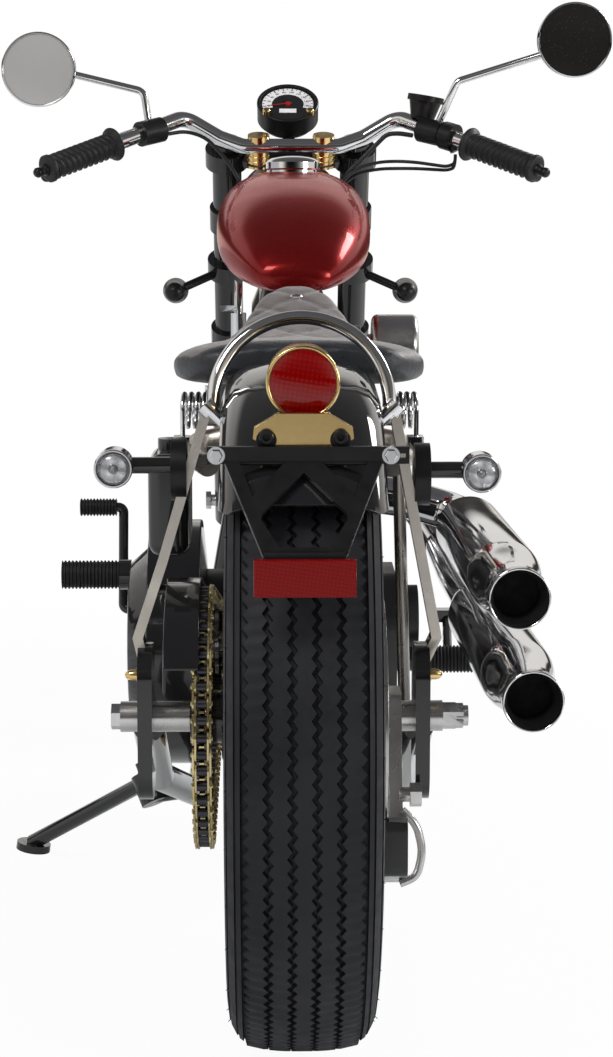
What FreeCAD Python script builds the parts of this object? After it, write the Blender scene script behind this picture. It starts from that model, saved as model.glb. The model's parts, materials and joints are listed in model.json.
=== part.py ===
"""Chopper motorcycle with a rigid frame and an open V-twin engine, parked on its side stand.

The pieces are laid out in the upright machine's own frame, in millimetres: X to the rider's right,
Y forward, Z up, with the origin on the ground under the rear axle. The last step leans the machine
to the left until its tyres and its stand foot are level, and moves the middle of its footprint to
the origin. Each named piece is written to parts/ as one STEP file.
"""

import FreeCAD
import Part
import math
import os

# Stance
LEAN = 9.0

# Clearances: between pieces that seat on each other, round the turning axles and beside the hubs
SEAT_GAP = 0.3
AXLE_GAP = 0.05
HUB_GAP = 0.5

# Rear wheel, with a 16 inch rim
REAR_TYRE_RADIUS = 320.0
REAR_TYRE_HALF = 70.0
REAR_RIM_RADIUS = 203.0
REAR_RIM_HALF = 50.0
REAR_CROWN = 45.0
REAR_AXLE_RADIUS = 10.0

# Front wheel, with a 19 inch rim
FRONT_TYRE_RADIUS = 330.0
FRONT_TYRE_HALF = 50.0
FRONT_RIM_RADIUS = 241.0
FRONT_RIM_HALF = 36.0
FRONT_CROWN = 37.5
FRONT_AXLE_RADIUS = 9.0

# Flat steps round the tyres and the rims
TYRE_STEPS = 48
RIM_STEPS = 96

# Rims, hubs and spokes
RIM_LIP = 14.0
RIM_WELL = 20.0
RIM_SKIN = 5.0
HUB_RADIUS = 26.0
FLANGE_RADIUS = 42.0
FLANGE_THICK = 7.0
SPOKE_RADIUS = 2.0
SPOKES_A_SIDE = 20
SPOKE_CROSS = 40.0

# Things that stand beside the rear tyre, by their places along the axle
SPROCKET_X = -93.0
SPROCKET_THICK = 5.0
DISC_X = 78.0
DISC_THICK = 5.0
DISC_RADIUS = 116.0
DISC_HOLE = 62.0
REAR_HUB_LEFT = -107.0
REAR_HUB_RIGHT = 82.0
LEFT_PLATE_X = -150.0
RIGHT_PLATE_X = 117.0
PLATE_THICK = 14.0
PLATE_LENGTH = 74.0
SPACER_RADIUS = 15.0
AXLE_LEFT_END = -184.0
AXLE_RIGHT_END = 163.0

# Drive chain
CHAIN_PITCH = 15.875
CHAIN_LINKS = 100
REAR_TEETH = 48
FRONT_TEETH = 16
ROLLER_RADIUS = 5.08
ROLLER_GAP = 0.5
INNER_WIDTH = 7.0
LINK_THICK = 4.0
LINK_HALF = 7.0
GUARD_GAP = 7.0
GUARD_SKIN = 3.0
GUARD_SKIRT = 26.0
GUARD_OUT = -126.0
GUARD_IN = -96.0
GUARD_FRONT = 300.0
GUARD_CURL = math.radians(148)
GUARD_STEPS = 6

# Steering geometry: the rake from upright and the fork tubes' offset from the steering axis
RAKE = 32.0
FORK_OFFSET = 50.0
FORK_X = 90.0
FORK_TUBE_RADIUS = 20.5
FORK_LEG_RADIUS = 27.0
FORK_LEG_LENGTH = 370.0
CLAMP_HALF = 30.0
CLAMP_THICK = 26.0
CLAMP_GAP = 1.0
HEAD_LENGTH = 158.0
HEAD_RADIUS = 27.0

# Frame tubes
FRAME_RADIUS = 16.0
BACKBONE_RADIUS = 20.0
CRADLE_X = 112.0
CRADLE_Z = 122.0
STEM_RADIUS = 14.0
BACKBONE_BEND = 60.0
STRUT_WIDTH = 30.0
STRUT_THICK = 10.0
STRUT_TOP_X = 89.0
LEFT_STRUT = (150.0, 157.0, 133.0)
RIGHT_STRUT = (117.0, 131.0, 117.0)
RAIL_X = 104.0
RAIL_RADIUS = 11.0

# Engine
CRANK_Z = 262.0
V_ANGLE = 45.0
CASE_LEFT = -78.0
CASE_RIGHT = 85.0
DECK_Z = 372.0
BARREL_BASE = 118.0
FIN_COUNT = 9
FIN_PITCH = 14.5
FIN_THICK = 4.0
FIN_HALF = 72.0
BARREL_RADIUS = 50.0
HEAD_FINS = 5
ROCKER_HIGH = 52.0
PRIMARY_IN = -110.0
PRIMARY_RIM = -171.0
PRIMARY_DOME = -195.0
CLUTCH_RADIUS = 145.0
ENGINE_PULLEY_RADIUS = 100.0
COVER_RIGHT = 125.0
COVER_BOSS = 155.0

AIR_CLEANER_IN = 96.0
AIR_CLEANER_OUT = 153.0
AIR_CLEANER_RADIUS = 40.0

# Exhaust
MUFFLER_RADIUS = 36.5
MUFFLER_MOUTH = 29.0
MUFFLER_NECK = 25.0
MUFFLER_SKIN = 2.0
MUFFLER_REAR = -112.0
MUFFLER_FRONT = 400.0
EXHAUST_RADIUS = 22.0
EXHAUST_BEND = 32.0
UPPER_MUFFLER = (201.0, 455.0)
LOWER_MUFFLER = (215.0, 358.0)
MUFFLER_SPLAY = 0.027

# Rear fender, and what it carries
FENDER_GAP = 22.0
FENDER_HALF = 75.0
FENDER_SKIN = 3.0
FENDER_REAR = 45.5
FENDER_FRONT = 62.0
FENDER_DEPTH = 60.0

# Tail lamp bracket and the bar that carries a number plate
LAMP_BRACKET_REAR = -212.0
PLATE_BAR_THICK = 8.0
PLATE_HOLE_X = 76.0
PLATE_HOLE_RADIUS = 3.3

# Front fender
FRONT_FENDER_AHEAD = 42.0
FRONT_FENDER_BEHIND = 62.0

# Round discs on the struts
SIDE_DISC_X = 109.0
SIDE_DISC_THICK = 15.0

# Side stand
STAND_PIVOT = (-170.0, 380.0, 158.0)
STAND_FOOT = (-312.0, 490.0)
STAND_BACK = (-0.45, -0.87, 0.2)
STAND_RADIUS = 9.0
STAND_LUG = 18.0
STAND_PIN = 6.0

# Tail lamp, and the loop behind the saddle
LAMP_REAR = -188.0
LAMP_RADIUS = 32.0
LAMP_RIM = 4.0
WING_BOLT_X = 32.3
LOOP_HALF = 82.0
LOOP_REAR = -60.0
LOOP_RADIUS = 6.5
LOOP_HIGH = 51.0

# Number plate truss
PLATE_DROP = 73.0
PLATE_LEAN = 84.0
PLATE_TRUSS_THICK = 5.0

# Saddle springs
SPRING_X = 104.0
SPRING_Y = 100.0
SPRING_RADIUS = 16.2
SPRING_REACH = 11.8
SPRING_WIRE = 2.4
SPRING_TURNS = 3

# Oil tank, and the brace on the right
OIL_TANK_X = (-115.0, -160.0)
OIL_TANK_Y = (252.0, 348.0)
OIL_TANK_ROUND = 14.0
BRACE_X = 104.0
BRACE_Y = 204.0
BRACE_RADIUS = 6.5

# Small round things
COLLAR_LENGTH = 18.0
CAP_RADIUS = 33.0
GRIP_RADIUS = 16.5
MIRROR_RADIUS = 50.0
PRIMARY_AHEAD = 15.0

# Heights and lengths that follow from the tyres
CROWN_Z = 2 * REAR_TYRE_RADIUS + FENDER_GAP + FENDER_SKIN
PLATE_LOW = REAR_TYRE_RADIUS - 80
PLATE_HIGH = REAR_TYRE_RADIUS + 72
GUARD_LUG_Z = REAR_TYRE_RADIUS + 125
FRONT_SPROCKET_Z = REAR_TYRE_RADIUS - 30
STRUT_TOP_Z = CROWN_Z - 43
STUD_Z = CROWN_Z - 55
RAIL_Z = CROWN_Z - 99
SPRING_TOP = CROWN_Z - 32.7
PLATE_HOLE_Z = CROWN_Z - 63.5
LEFT_DISC_Z = CROWN_Z - 103
RIGHT_DISC_Z = CROWN_Z - 108
SEAT_TUBE_Y = REAR_TYRE_RADIUS + 75
SEAT_TUBE_LOW = REAR_TYRE_RADIUS + 20
SEAT_NOSE_Y = SEAT_TUBE_Y + 25
SEAT_NOSE_Z = CROWN_Z + 21.9
CRANK_Y = SEAT_TUBE_Y + 305
STEER_Y = CRANK_Y + 410
STEER_Z = 2 * FRONT_TYRE_RADIUS + 165
AIR_CLEANER_Z = CRANK_Z + 366

# Handlebar, by its places from the steering head, and the headlamp
BAR_RADIUS = 11.0
BAR_BEND = 26.0
BAR_POINTS = [(-322, -168, 21), (-226, -90, 59), (-148, -4, 91), (-100, -4, 63), (-66, -10, 51),
              (66, -10, 51), (100, -4, 63), (148, -4, 91), (226, -90, 59), (322, -168, 21)]
HEADLAMP_Y = STEER_Y + 212
HEADLAMP_Z = STEER_Z - 45


def at(x, y, z):
    return FreeCAD.Vector(x, y, z)


def rod(start, end, radius):
    """A round bar between two points."""
    start = at(*start)
    along = at(*end) - start
    return Part.makeCylinder(radius, along.Length, start, along)


def bar(start, end, radius, sides=6):
    """A bar of regular polygon section between two points."""
    start = at(*start)
    along = at(*end) - start
    side = along.cross(at(0.123, 0.456, 0.881))
    side.normalize()
    ring = []
    for i in range(sides):
        turn = FreeCAD.Rotation(along, 360.0 * i / sides)
        ring.append(start + turn.multVec(side) * radius)
    face = Part.Face(Part.makePolygon(ring + ring[:1]))
    return face.extrude(along)


def box(x, y, z):
    """A block from its low and high limits along each axis."""
    return Part.makeBox(x[1] - x[0], y[1] - y[0], z[1] - z[0], at(x[0], y[0], z[0]))


def path(points, radius, closed=False):
    """Straight runs through the points, each corner rounded to the radius by a tangent arc."""
    points = [at(*p) for p in points]
    count = len(points)
    corners = range(count) if closed else range(1, count - 1)
    stops = [(p, p, p) for p in points]
    for i in corners:
        before = points[i - 1] - points[i]
        after = points[(i + 1) % count] - points[i]
        before.normalize()
        after.normalize()
        half = before.getAngle(after) / 2
        middle = before + after
        middle.normalize()
        reach = radius / math.tan(half)
        crest = points[i] + middle * (radius / math.sin(half) - radius)
        stops[i] = (points[i] + before * reach, crest, points[i] + after * reach)
    edges = []
    for i in range(count if closed else count - 1):
        begin = stops[i][2]
        end = stops[(i + 1) % count][0]
        if i in corners:
            edges.append(Part.Arc(*stops[i]).toShape())
        if (end - begin).Length > 1e-4:
            edges.append(Part.LineSegment(begin, end).toShape())
    return Part.Wire(Part.__sortEdges__(edges))


def tube(points, bend, radius):
    """A round bar along straight runs with bends."""
    spine = path(points, bend)
    start = at(*points[0])
    ring = Part.Wire(Part.makeCircle(radius, start, at(*points[1]) - start))
    return spine.makePipeShell([ring], True, False)


def cable(points, radius):
    """A round cable along straight runs, with each corner's arc as large as its two runs allow."""
    points = [at(*p) for p in points]
    stops = [(points[0],) * 3]
    for before, corner, after in zip(points, points[1:], points[2:]):
        back = before - corner
        ahead = after - corner
        reach = 0.45 * min(back.Length, ahead.Length)
        back.normalize()
        ahead.normalize()
        half = back.getAngle(ahead) / 2
        middle = back + ahead
        middle.normalize()
        bend = reach * math.tan(half)
        crest = corner + middle * (bend / math.sin(half) - bend)
        stops.append((corner + back * reach, crest, corner + ahead * reach))
    stops.append((points[-1],) * 3)
    edges = []
    for here, there in zip(stops, stops[1:]):
        if here[0] != here[2]:
            edges.append(Part.Arc(*here).toShape())
        edges.append(Part.LineSegment(here[2], there[0]).toShape())
    ring = Part.Wire(Part.makeCircle(radius, points[0], points[1] - points[0]))
    return Part.Wire(edges).makePipeShell([ring], True, False)


def plate(outline, x_from, x_to, corner=0.0):
    """A flat plate: a (y, z) outline with rounded corners, from one X to another."""
    points = [(x_from, y, z) for y, z in outline]
    if corner:
        wire = path(points, corner, True)
    else:
        wire = Part.makePolygon([at(*p) for p in points + points[:1]])
    return Part.Face(wire).extrude(at(x_to - x_from, 0, 0))


def flat(outline, y_from, y_to, holes=()):
    """A flat plate square to the machine: an (x, z) outline from one Y to another, less round holes."""
    ring = [at(x, y_from, z) for x, z in outline]
    body = Part.Face(Part.makePolygon(ring + ring[:1])).extrude(at(0, y_to - y_from, 0))
    return body.cut([rod((x, y_from - 1, z), (x, y_to + 1, z), r) for x, z, r in holes]) if holes else body


def slab(outline, thick):
    """A flat plate on the X-Z plane, centred on it."""
    ring = [at(x, -thick / 2, z) for x, z in outline]
    return Part.Face(Part.makePolygon(ring + ring[:1])).extrude(at(0, thick, 0))


def turned(profile, y, z, sweep=360.0, start=0.0):
    """A profile of (x, radius) points turned about an axis along X through (y, z)."""
    points = [at(x, y, z + r) for x, r in profile]
    face = Part.Face(Part.makePolygon(points + points[:1]))
    solid = face.revolve(at(0, y, z), at(1, 0, 0), sweep)
    if start:
        solid.rotate(at(0, y, z), at(1, 0, 0), start)
    return solid


def faceted(profile, y, z, steps):
    """A closed profile of (x, radius) points carried round an axis along X in flat steps."""
    rings = []
    for i in range(steps):
        angle = 2 * math.pi * (i + 0.5) / steps
        rings.append([at(x, y + r * math.sin(angle), z - r * math.cos(angle)) for x, r in profile])
    faces = []
    for i in range(steps):
        here, there = rings[i - 1], rings[i]
        for j in range(len(profile)):
            quad = [here[j - 1], here[j], there[j], there[j - 1]]
            faces.append(Part.Face(Part.makePolygon(quad + quad[:1])))
    return Part.makeSolid(Part.makeShell(faces))


def fused(shapes):
    first = shapes[0]
    return first.fuse(shapes[1:]).removeSplitter() if len(shapes) > 1 else first


def steer(along, lateral=0.0, forward=0.0):
    """A point by its height along the steering axis, its side and its distance ahead of the axis."""
    c = math.cos(math.radians(RAKE))
    s = math.sin(math.radians(RAKE))
    return (lateral, STEER_Y - s * along + c * forward, STEER_Z + c * along + s * forward)


def fork_axle_along():
    """How far down the fork the front axle lies."""
    c = math.cos(math.radians(RAKE))
    s = math.sin(math.radians(RAKE))
    return (FRONT_TYRE_RADIUS - STEER_Z - s * FORK_OFFSET) / c


def at_head(x, y, z):
    """A point by its place from the top of the steering head."""
    return (x, STEER_Y + y, STEER_Z + z)


def at_crank(x, y, z):
    """A point by its place from the crankshaft's middle."""
    return (x, CRANK_Y + y, CRANK_Z + z)


def at_crown(x, y, z):
    """A point by its place from the rear fender's crown, over the axle."""
    return (x, y, CROWN_Z + z)


FORK_AXLE = fork_axle_along()
FRONT_AXLE_Y = steer(FORK_AXLE, 0, FORK_OFFSET)[1]
LOWER_CLAMP = -HEAD_LENGTH - CLAMP_THICK
CLAMP_TOP = CLAMP_GAP + CLAMP_THICK


# Wheels

def tyre_profile(radius, half, rim_radius, rim_half, crown):
    """The (x, radius) outline of a tyre that fills its rim, from the bead seats to the tread."""
    seat = (rim_radius + SEAT_GAP) / math.cos(math.pi / TYRE_STEPS)
    shoulder = radius - 0.18 * half
    return [
        (-rim_half, seat),
        (-rim_half, seat + RIM_LIP),
        (-half, rim_radius + 0.45 * (radius - rim_radius)),
        (-half + 3, shoulder - 6),
        (-crown, radius - 0.06 * half),
        (-0.4 * crown, radius),
        (0.4 * crown, radius),
        (crown, radius - 0.06 * half),
        (half - 3, shoulder - 6),
        (half, rim_radius + 0.45 * (radius - rim_radius)),
        (rim_half, seat + RIM_LIP),
        (rim_half, seat),
    ]


def rear_tyre_profile():
    return tyre_profile(REAR_TYRE_RADIUS, REAR_TYRE_HALF, REAR_RIM_RADIUS, REAR_RIM_HALF, REAR_CROWN)


def front_tyre_profile():
    return tyre_profile(FRONT_TYRE_RADIUS, FRONT_TYRE_HALF, FRONT_RIM_RADIUS, FRONT_RIM_HALF, FRONT_CROWN)


def wheel(y, z, rim_radius, rim_half, hub_left, hub_right, axle_radius, flanges):
    """A rim with a well, a hub with two flanges, and crossed wire spokes between them."""
    lip = rim_half + RIM_SKIN
    well = rim_radius - RIM_WELL
    rim = faceted([
        (-lip, rim_radius + RIM_LIP - 2),
        (-lip, rim_radius - RIM_SKIN),
        (-0.5 * rim_half, well - RIM_SKIN),
        (0.5 * rim_half, well - RIM_SKIN),
        (lip, rim_radius - RIM_SKIN),
        (lip, rim_radius + RIM_LIP - 2),
        (rim_half + SEAT_GAP, rim_radius + RIM_LIP - 2),
        (rim_half + SEAT_GAP, rim_radius),
        (-rim_half - SEAT_GAP, rim_radius),
        (-rim_half - SEAT_GAP, rim_radius + RIM_LIP - 2),
    ], y, z, RIM_STEPS)
    hub = rod((hub_left, y, z), (hub_right, y, z), HUB_RADIUS)
    pieces = [rim, hub]
    step = 360.0 / SPOKES_A_SIDE
    for side, flange in zip((-1, 1), flanges):
        pieces.append(rod((flange - FLANGE_THICK / 2, y, z), (flange + FLANGE_THICK / 2, y, z), FLANGE_RADIUS))
        for i in range(SPOKES_A_SIDE):
            lead = SPOKE_CROSS if i % 2 else -SPOKE_CROSS
            inner = math.radians(step * i + lead)
            outer = math.radians(step * (i + 0.25 * side))
            r_in = FLANGE_RADIUS - 4
            r_out = well - RIM_SKIN + 2
            start = (flange, y + r_in * math.sin(inner), z + r_in * math.cos(inner))
            end = (0.2 * side * rim_half, y + r_out * math.sin(outer), z + r_out * math.cos(outer))
            pieces.append(bar(start, end, SPOKE_RADIUS, 4))
    bore = rod((hub_left - 1, y, z), (hub_right + 1, y, z), axle_radius + AXLE_GAP)
    return fused(pieces).cut(bore)


def rear_tyre():
    return faceted(rear_tyre_profile(), 0, REAR_TYRE_RADIUS, TYRE_STEPS)


def front_tyre():
    return faceted(front_tyre_profile(), FRONT_AXLE_Y, FRONT_TYRE_RADIUS, TYRE_STEPS)


def rear_wheel():
    flanges = (SPROCKET_X + 20, DISC_X - 14)
    return wheel(0, REAR_TYRE_RADIUS, REAR_RIM_RADIUS, REAR_RIM_HALF, REAR_HUB_LEFT, REAR_HUB_RIGHT,
                 REAR_AXLE_RADIUS, flanges)


def front_wheel():
    hub = FORK_X - FORK_LEG_RADIUS - HUB_GAP
    return wheel(FRONT_AXLE_Y, FRONT_TYRE_RADIUS, FRONT_RIM_RADIUS, FRONT_RIM_HALF, -hub, hub,
                 FRONT_AXLE_RADIUS, (-30.0, 30.0))


def disc(x, y, z):
    """A brake disc seated on the hub."""
    plain = rod((x - DISC_THICK / 2, y, z), (x + DISC_THICK / 2, y, z), DISC_RADIUS)
    centre = rod((x - DISC_THICK, y, z), (x + DISC_THICK, y, z), HUB_RADIUS + SEAT_GAP)
    windows = []
    for i in range(6):
        angle = math.radians(60 * i)
        r = (DISC_HOLE + HUB_RADIUS) / 2 + 4
        middle = (x, y + r * math.sin(angle), z + r * math.cos(angle))
        windows.append(bar((x - DISC_THICK, middle[1], middle[2]), (x + DISC_THICK, middle[1], middle[2]), 12))
    return plain.cut([centre] + windows)


# Chain and sprockets

def pitch_radius(teeth):
    """The radius that puts the teeth one chain pitch apart along its arc."""
    return teeth * pitch_arc() / (2 * math.pi)


def pitch_arc():
    """The arc along the pitch circle from one rear tooth to the next."""
    return math.pi * CHAIN_PITCH / (REAR_TEETH * math.sin(math.pi / REAR_TEETH))


def sprocket_centres():
    """The rear centre and the front one, set so that the loop holds a whole number of links."""
    big = pitch_radius(REAR_TEETH)
    small = pitch_radius(FRONT_TEETH)
    drop = FRONT_SPROCKET_Z - REAR_TYRE_RADIUS
    apart = 500.0
    for _ in range(40):
        lean = math.asin((big - small) / apart)
        straight = apart * math.cos(lean)
        loop = 2 * straight + big * (math.pi + 2 * lean) + small * (math.pi - 2 * lean)
        apart += (CHAIN_LINKS * pitch_arc() - loop) / 2
    return (0.0, REAR_TYRE_RADIUS), (math.sqrt(apart ** 2 - drop ** 2), FRONT_SPROCKET_Z)


def chain_pins():
    """The (y, z) places of the chain's pins, and the outward direction at each."""
    rear, front = sprocket_centres()
    big = pitch_radius(REAR_TEETH)
    small = pitch_radius(FRONT_TEETH)
    apart = math.hypot(front[0] - rear[0], front[1] - rear[1])
    tilt = math.atan2(front[1] - rear[1], front[0] - rear[0])
    lean = math.asin((big - small) / apart)
    straight = apart * math.cos(lean)
    rear_arc = big * (math.pi + 2 * lean)
    front_arc = small * (math.pi - 2 * lean)
    up = tilt + math.pi / 2 - lean
    down = tilt - math.pi / 2 + lean
    pins = []
    for i in range(CHAIN_LINKS):
        along = i * pitch_arc() + rear_arc / 2
        along %= rear_arc + front_arc + 2 * straight
        if along < rear_arc:
            angle = down - along / big
            centre, radius, slide = rear, big, 0.0
        elif along < rear_arc + straight:
            angle = up
            centre, radius, slide = rear, big, along - rear_arc
        elif along < rear_arc + straight + front_arc:
            angle = up - (along - rear_arc - straight) / small
            centre, radius, slide = front, small, 0.0
        else:
            angle = down
            centre, radius, slide = front, small, along - rear_arc - straight - front_arc
        out = (math.cos(angle), math.sin(angle))
        ahead = (math.sin(angle), -math.cos(angle))
        y = centre[0] + radius * out[0] + slide * ahead[0]
        z = centre[1] + radius * out[1] + slide * ahead[1]
        pins.append(((y, z), out))
    return pins


def drive_chain():
    """Two loops of link plates at the pin places, joined by the rollers."""
    pins = chain_pins()
    outer = [(p[0] + LINK_HALF * n[0], p[1] + LINK_HALF * n[1]) for p, n in pins]
    inner = [(p[0] - LINK_HALF * n[0], p[1] - LINK_HALF * n[1]) for p, n in pins]
    pieces = []
    for side in (-1, 1):
        near = SPROCKET_X + side * INNER_WIDTH
        far = near + side * LINK_THICK
        pieces.append(plate(outer, near, far).cut(plate(inner, near - side, far + side)))
    reach = INNER_WIDTH + 1
    for (y, z), _ in pins:
        pieces.append(bar((SPROCKET_X - reach, y, z), (SPROCKET_X + reach, y, z), ROLLER_RADIUS, 4))
    return pieces[0].fuse(pieces[1:])


def sprocket(teeth, centre, first_pin, hub_radius):
    """A toothed plate whose gaps clear the chain's rollers."""
    big = pitch_radius(teeth)
    root = big - ROLLER_RADIUS - ROLLER_GAP
    step = 2 * math.pi / teeth
    start = math.atan2(first_pin[1] - centre[1], first_pin[0] - centre[0])
    tip = big + 0.45 * ROLLER_RADIUS
    outline = []
    half_gap = (ROLLER_RADIUS + ROLLER_GAP) * 1.12 / big
    for i in range(teeth):
        pin = start + i * step
        for r, a in ((root, pin - 0.5 * half_gap), (root, pin + 0.5 * half_gap),
                     (big, pin + half_gap), (tip, pin + 0.5 * step - 0.06 * step),
                     (tip, pin + 0.5 * step + 0.06 * step), (big, pin + step - half_gap)):
            outline.append((centre[0] + r * math.cos(a), centre[1] + r * math.sin(a)))
    left = SPROCKET_X - SPROCKET_THICK / 2
    right = SPROCKET_X + SPROCKET_THICK / 2
    body = plate(outline, left, right)
    return body.cut(rod((left - 1, *centre), (right + 1, *centre), hub_radius))


def rear_sprocket():
    centre = sprocket_centres()[0]
    body = sprocket(REAR_TEETH, centre, chain_pins()[0][0], HUB_RADIUS + SEAT_GAP)
    windows = []
    for i in range(6):
        angle = math.radians(60 * i + 30)
        y = centre[0] + 74 * math.cos(angle)
        z = centre[1] + 74 * math.sin(angle)
        windows.append(bar((SPROCKET_X - 9, y, z), (SPROCKET_X + 9, y, z), 22))
    return body.cut(windows)


def front_sprocket():
    centre = sprocket_centres()[1]
    pins = sorted(chain_pins(), key=lambda pin: -pin[0][0])
    body = sprocket(FRONT_TEETH, centre, pins[0][0], 12.0)
    shaft = rod((PRIMARY_IN, *centre), (CASE_LEFT, *centre), 12.0)
    return body.fuse(shaft)


def chain_run_angle():
    """The slope of the chain's top run, in radians, below the horizontal going forward."""
    rear, front = sprocket_centres()
    apart = math.hypot(front[0] - rear[0], front[1] - rear[1])
    tilt = math.atan2(front[1] - rear[1], front[0] - rear[0])
    return math.asin((pitch_radius(REAR_TEETH) - pitch_radius(FRONT_TEETH)) / apart) - tilt


def chain_guard():
    """An angle section that follows the chain's top run and curls down behind the sprocket."""
    radius = pitch_radius(REAR_TEETH) + LINK_HALF + GUARD_GAP
    fall = chain_run_angle()
    crest = math.pi / 2 - fall
    top = []
    for step in range(GUARD_STEPS + 1):
        angle = GUARD_CURL + (crest - GUARD_CURL) * step / GUARD_STEPS
        top.append((radius * math.cos(angle), REAR_TYRE_RADIUS + radius * math.sin(angle)))
    y, z = top[-1]
    reach = GUARD_FRONT - y
    top.append((GUARD_FRONT, z - reach * math.tan(fall)))
    under = [(y, z - GUARD_SKIN) for y, z in top]
    skirt = [(y, z - GUARD_SKIRT) for y, z in top]
    roof = plate(under + [(y, z) for y, z in top[::-1]], GUARD_OUT, GUARD_IN)
    side = plate(skirt + top[::-1], GUARD_OUT - GUARD_SKIN, GUARD_OUT)
    lug = rod((GUARD_OUT - 1, 0, GUARD_LUG_Z), (GUARD_OUT - 15, 0, GUARD_LUG_Z), 5)
    return fused([roof, side, lug.cut(strut(-1, SEAT_GAP))])


# Frame

def backbone_route():
    return [steer(-45), (0, CRANK_Y, STEER_Z - 90), (0, SEAT_TUBE_Y + 105, CROWN_Z + 25),
            (0, SEAT_TUBE_Y, CROWN_Z - 65), (0, SEAT_TUBE_Y, SEAT_TUBE_LOW)]


def cradle_tail(side):
    """The last run of a frame tube, up to its axle plate."""
    x = LEFT_PLATE_X if side < 0 else RIGHT_PLATE_X
    return (x, SEAT_TUBE_Y - 155, REAR_TYRE_RADIUS - 120), (x, 20, REAR_TYRE_RADIUS - 8)


def frame_backbone():
    """The steering head, the backbone tube under the tank and the seat tube behind the engine."""
    head = rod(steer(0), steer(-HEAD_LENGTH), HEAD_RADIUS)
    backbone = tube(backbone_route(), BACKBONE_BEND, BACKBONE_RADIUS)
    stay = rod(steer(-HEAD_LENGTH + 30), at_head(0, -110, -60), FRAME_RADIUS)
    bore = rod(steer(5), steer(-HEAD_LENGTH - 5), STEM_RADIUS + 1)
    nose = rod((0, SEAT_NOSE_Y, CROWN_Z - 25), (0, SEAT_NOSE_Y, SEAT_NOSE_Z), 8)
    return fused([head, backbone, stay, nose]).cut(bore)


def frame_cradle():
    """Two tubes from the steering head, round under the engine and back to the axle plates."""
    low = CRADLE_Z
    foot = steer(-HEAD_LENGTH + 24, 0, 0)
    head = rod(steer(10), steer(-HEAD_LENGTH - 10), HEAD_RADIUS + SEAT_GAP)
    edge = PLATE_LENGTH / 2 + SEAT_GAP
    loops = []
    for side, x_plate in ((-1, LEFT_PLATE_X), (1, RIGHT_PLATE_X)):
        x = side * CRADLE_X
        route = [
            (side * 20, foot[1] - 8, foot[2] - 6),
            (side * 60, CRANK_Y + 260, foot[2] - 225),
            (x, CRANK_Y + 162, low + 68),
            (x, CRANK_Y + 100, low),
            (x, SEAT_TUBE_Y + 65, low),
            *cradle_tail(side),
        ]
        loop = tube(route, 45, FRAME_RADIUS)
        plate_space = box((x_plate - 40, x_plate + 40), (-40, edge), (PLATE_LOW - 40, PLATE_HIGH + 28))
        loops.append(loop.cut([head, plate_space]))
    loops[0] = loops[0].fuse(stand_bracket())
    return loops


def strut_outline(side, grow=0.0):
    """The (x, z) outline of one flat strut, seen from behind, thickened by grow on each face."""
    lift = LEFT_STRUT if side < 0 else RIGHT_STRUT
    spine = [(lift[0], PLATE_HIGH - 22), (lift[1], REAR_TYRE_RADIUS + 80), (lift[2], REAR_TYRE_RADIUS + 153),
             (STRUT_TOP_X, STRUT_TOP_Z)]
    half = STRUT_THICK / 2 + grow
    outer = [(side * (x + half), z) for x, z in spine]
    inner = [(side * (x - half), z) for x, z in spine]
    return outer + inner[::-1]


def strut(side, grow=0.0):
    half = STRUT_WIDTH / 2 + grow
    ring = [at(x, -half, z) for x, z in strut_outline(side, grow)]
    return Part.Face(Part.makePolygon(ring + ring[:1])).extrude(at(0, 2 * half, 0))


def rail(side, grow=0.0):
    """The seat rail from a strut's top, along the fender and in to the seat tube."""
    return tube([(side * STRUT_TOP_X, 0, RAIL_Z), (side * RAIL_X, 70, RAIL_Z), (side * RAIL_X, 200, RAIL_Z),
                 (side * 4, SEAT_TUBE_Y - 4, RAIL_Z)], 60, RAIL_RADIUS + grow)


def rear_struts():
    """Axle plates, the flat struts that rise from them, the seat rails, and the brace on the right."""
    sides = []
    half = PLATE_LENGTH / 2
    post = rod((0, SEAT_TUBE_Y, RAIL_Z - 66), (0, SEAT_TUBE_Y, RAIL_Z + 74), BACKBONE_RADIUS + SEAT_GAP)
    for side, x in ((-1, LEFT_PLATE_X), (1, RIGHT_PLATE_X)):
        inner = x - side * PLATE_THICK / 2
        outer = x + side * PLATE_THICK / 2
        body = plate([(-half, PLATE_LOW), (half, PLATE_LOW), (half, PLATE_HIGH), (-half, PLATE_HIGH)],
                     inner, outer, 30)
        stud = rod((side * (FENDER_HALF + SEAT_GAP), 0, STUD_Z), (side * STRUT_TOP_X, 0, STUD_Z), 6)
        slot = rod((inner - side * 9, 0, REAR_TYRE_RADIUS), (outer + side * 9, 0, REAR_TYRE_RADIUS),
                   REAR_AXLE_RADIUS + SEAT_GAP)
        pieces = [body, strut(side), rail(side).cut(post), stud]
        if side > 0:
            below = rod(*cradle_tail(side), FRAME_RADIUS + SEAT_GAP)
            brace = rod((BRACE_X, BRACE_Y, RAIL_Z), (BRACE_X + 10, BRACE_Y, PLATE_LOW - 10), BRACE_RADIUS)
            pieces.append(brace.cut(below))
        sides.append(fused(pieces).cut(slot))
    return sides


def oil_tank():
    """The oil tank that hangs outside the left seat rail, in front of the spring."""
    x_in, x_out = OIL_TANK_X
    body = box((x_out, x_in), OIL_TANK_Y, (RAIL_Z - 130, RAIL_Z - 20))
    body = body.makeFillet(OIL_TANK_ROUND, body.Edges)
    lug = rod((x_in - 8, OIL_TANK_Y[0] + 20, RAIL_Z - 28), (-RAIL_X + 1, BRACE_Y, RAIL_Z), 7)
    filler = rod((x_out + 22, OIL_TANK_Y[1] - 40, RAIL_Z - 24), (x_out + 22, OIL_TANK_Y[1] - 40, RAIL_Z - 8), 13)
    return fused([body, lug, filler]).cut(rail(-1, SEAT_GAP))


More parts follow.
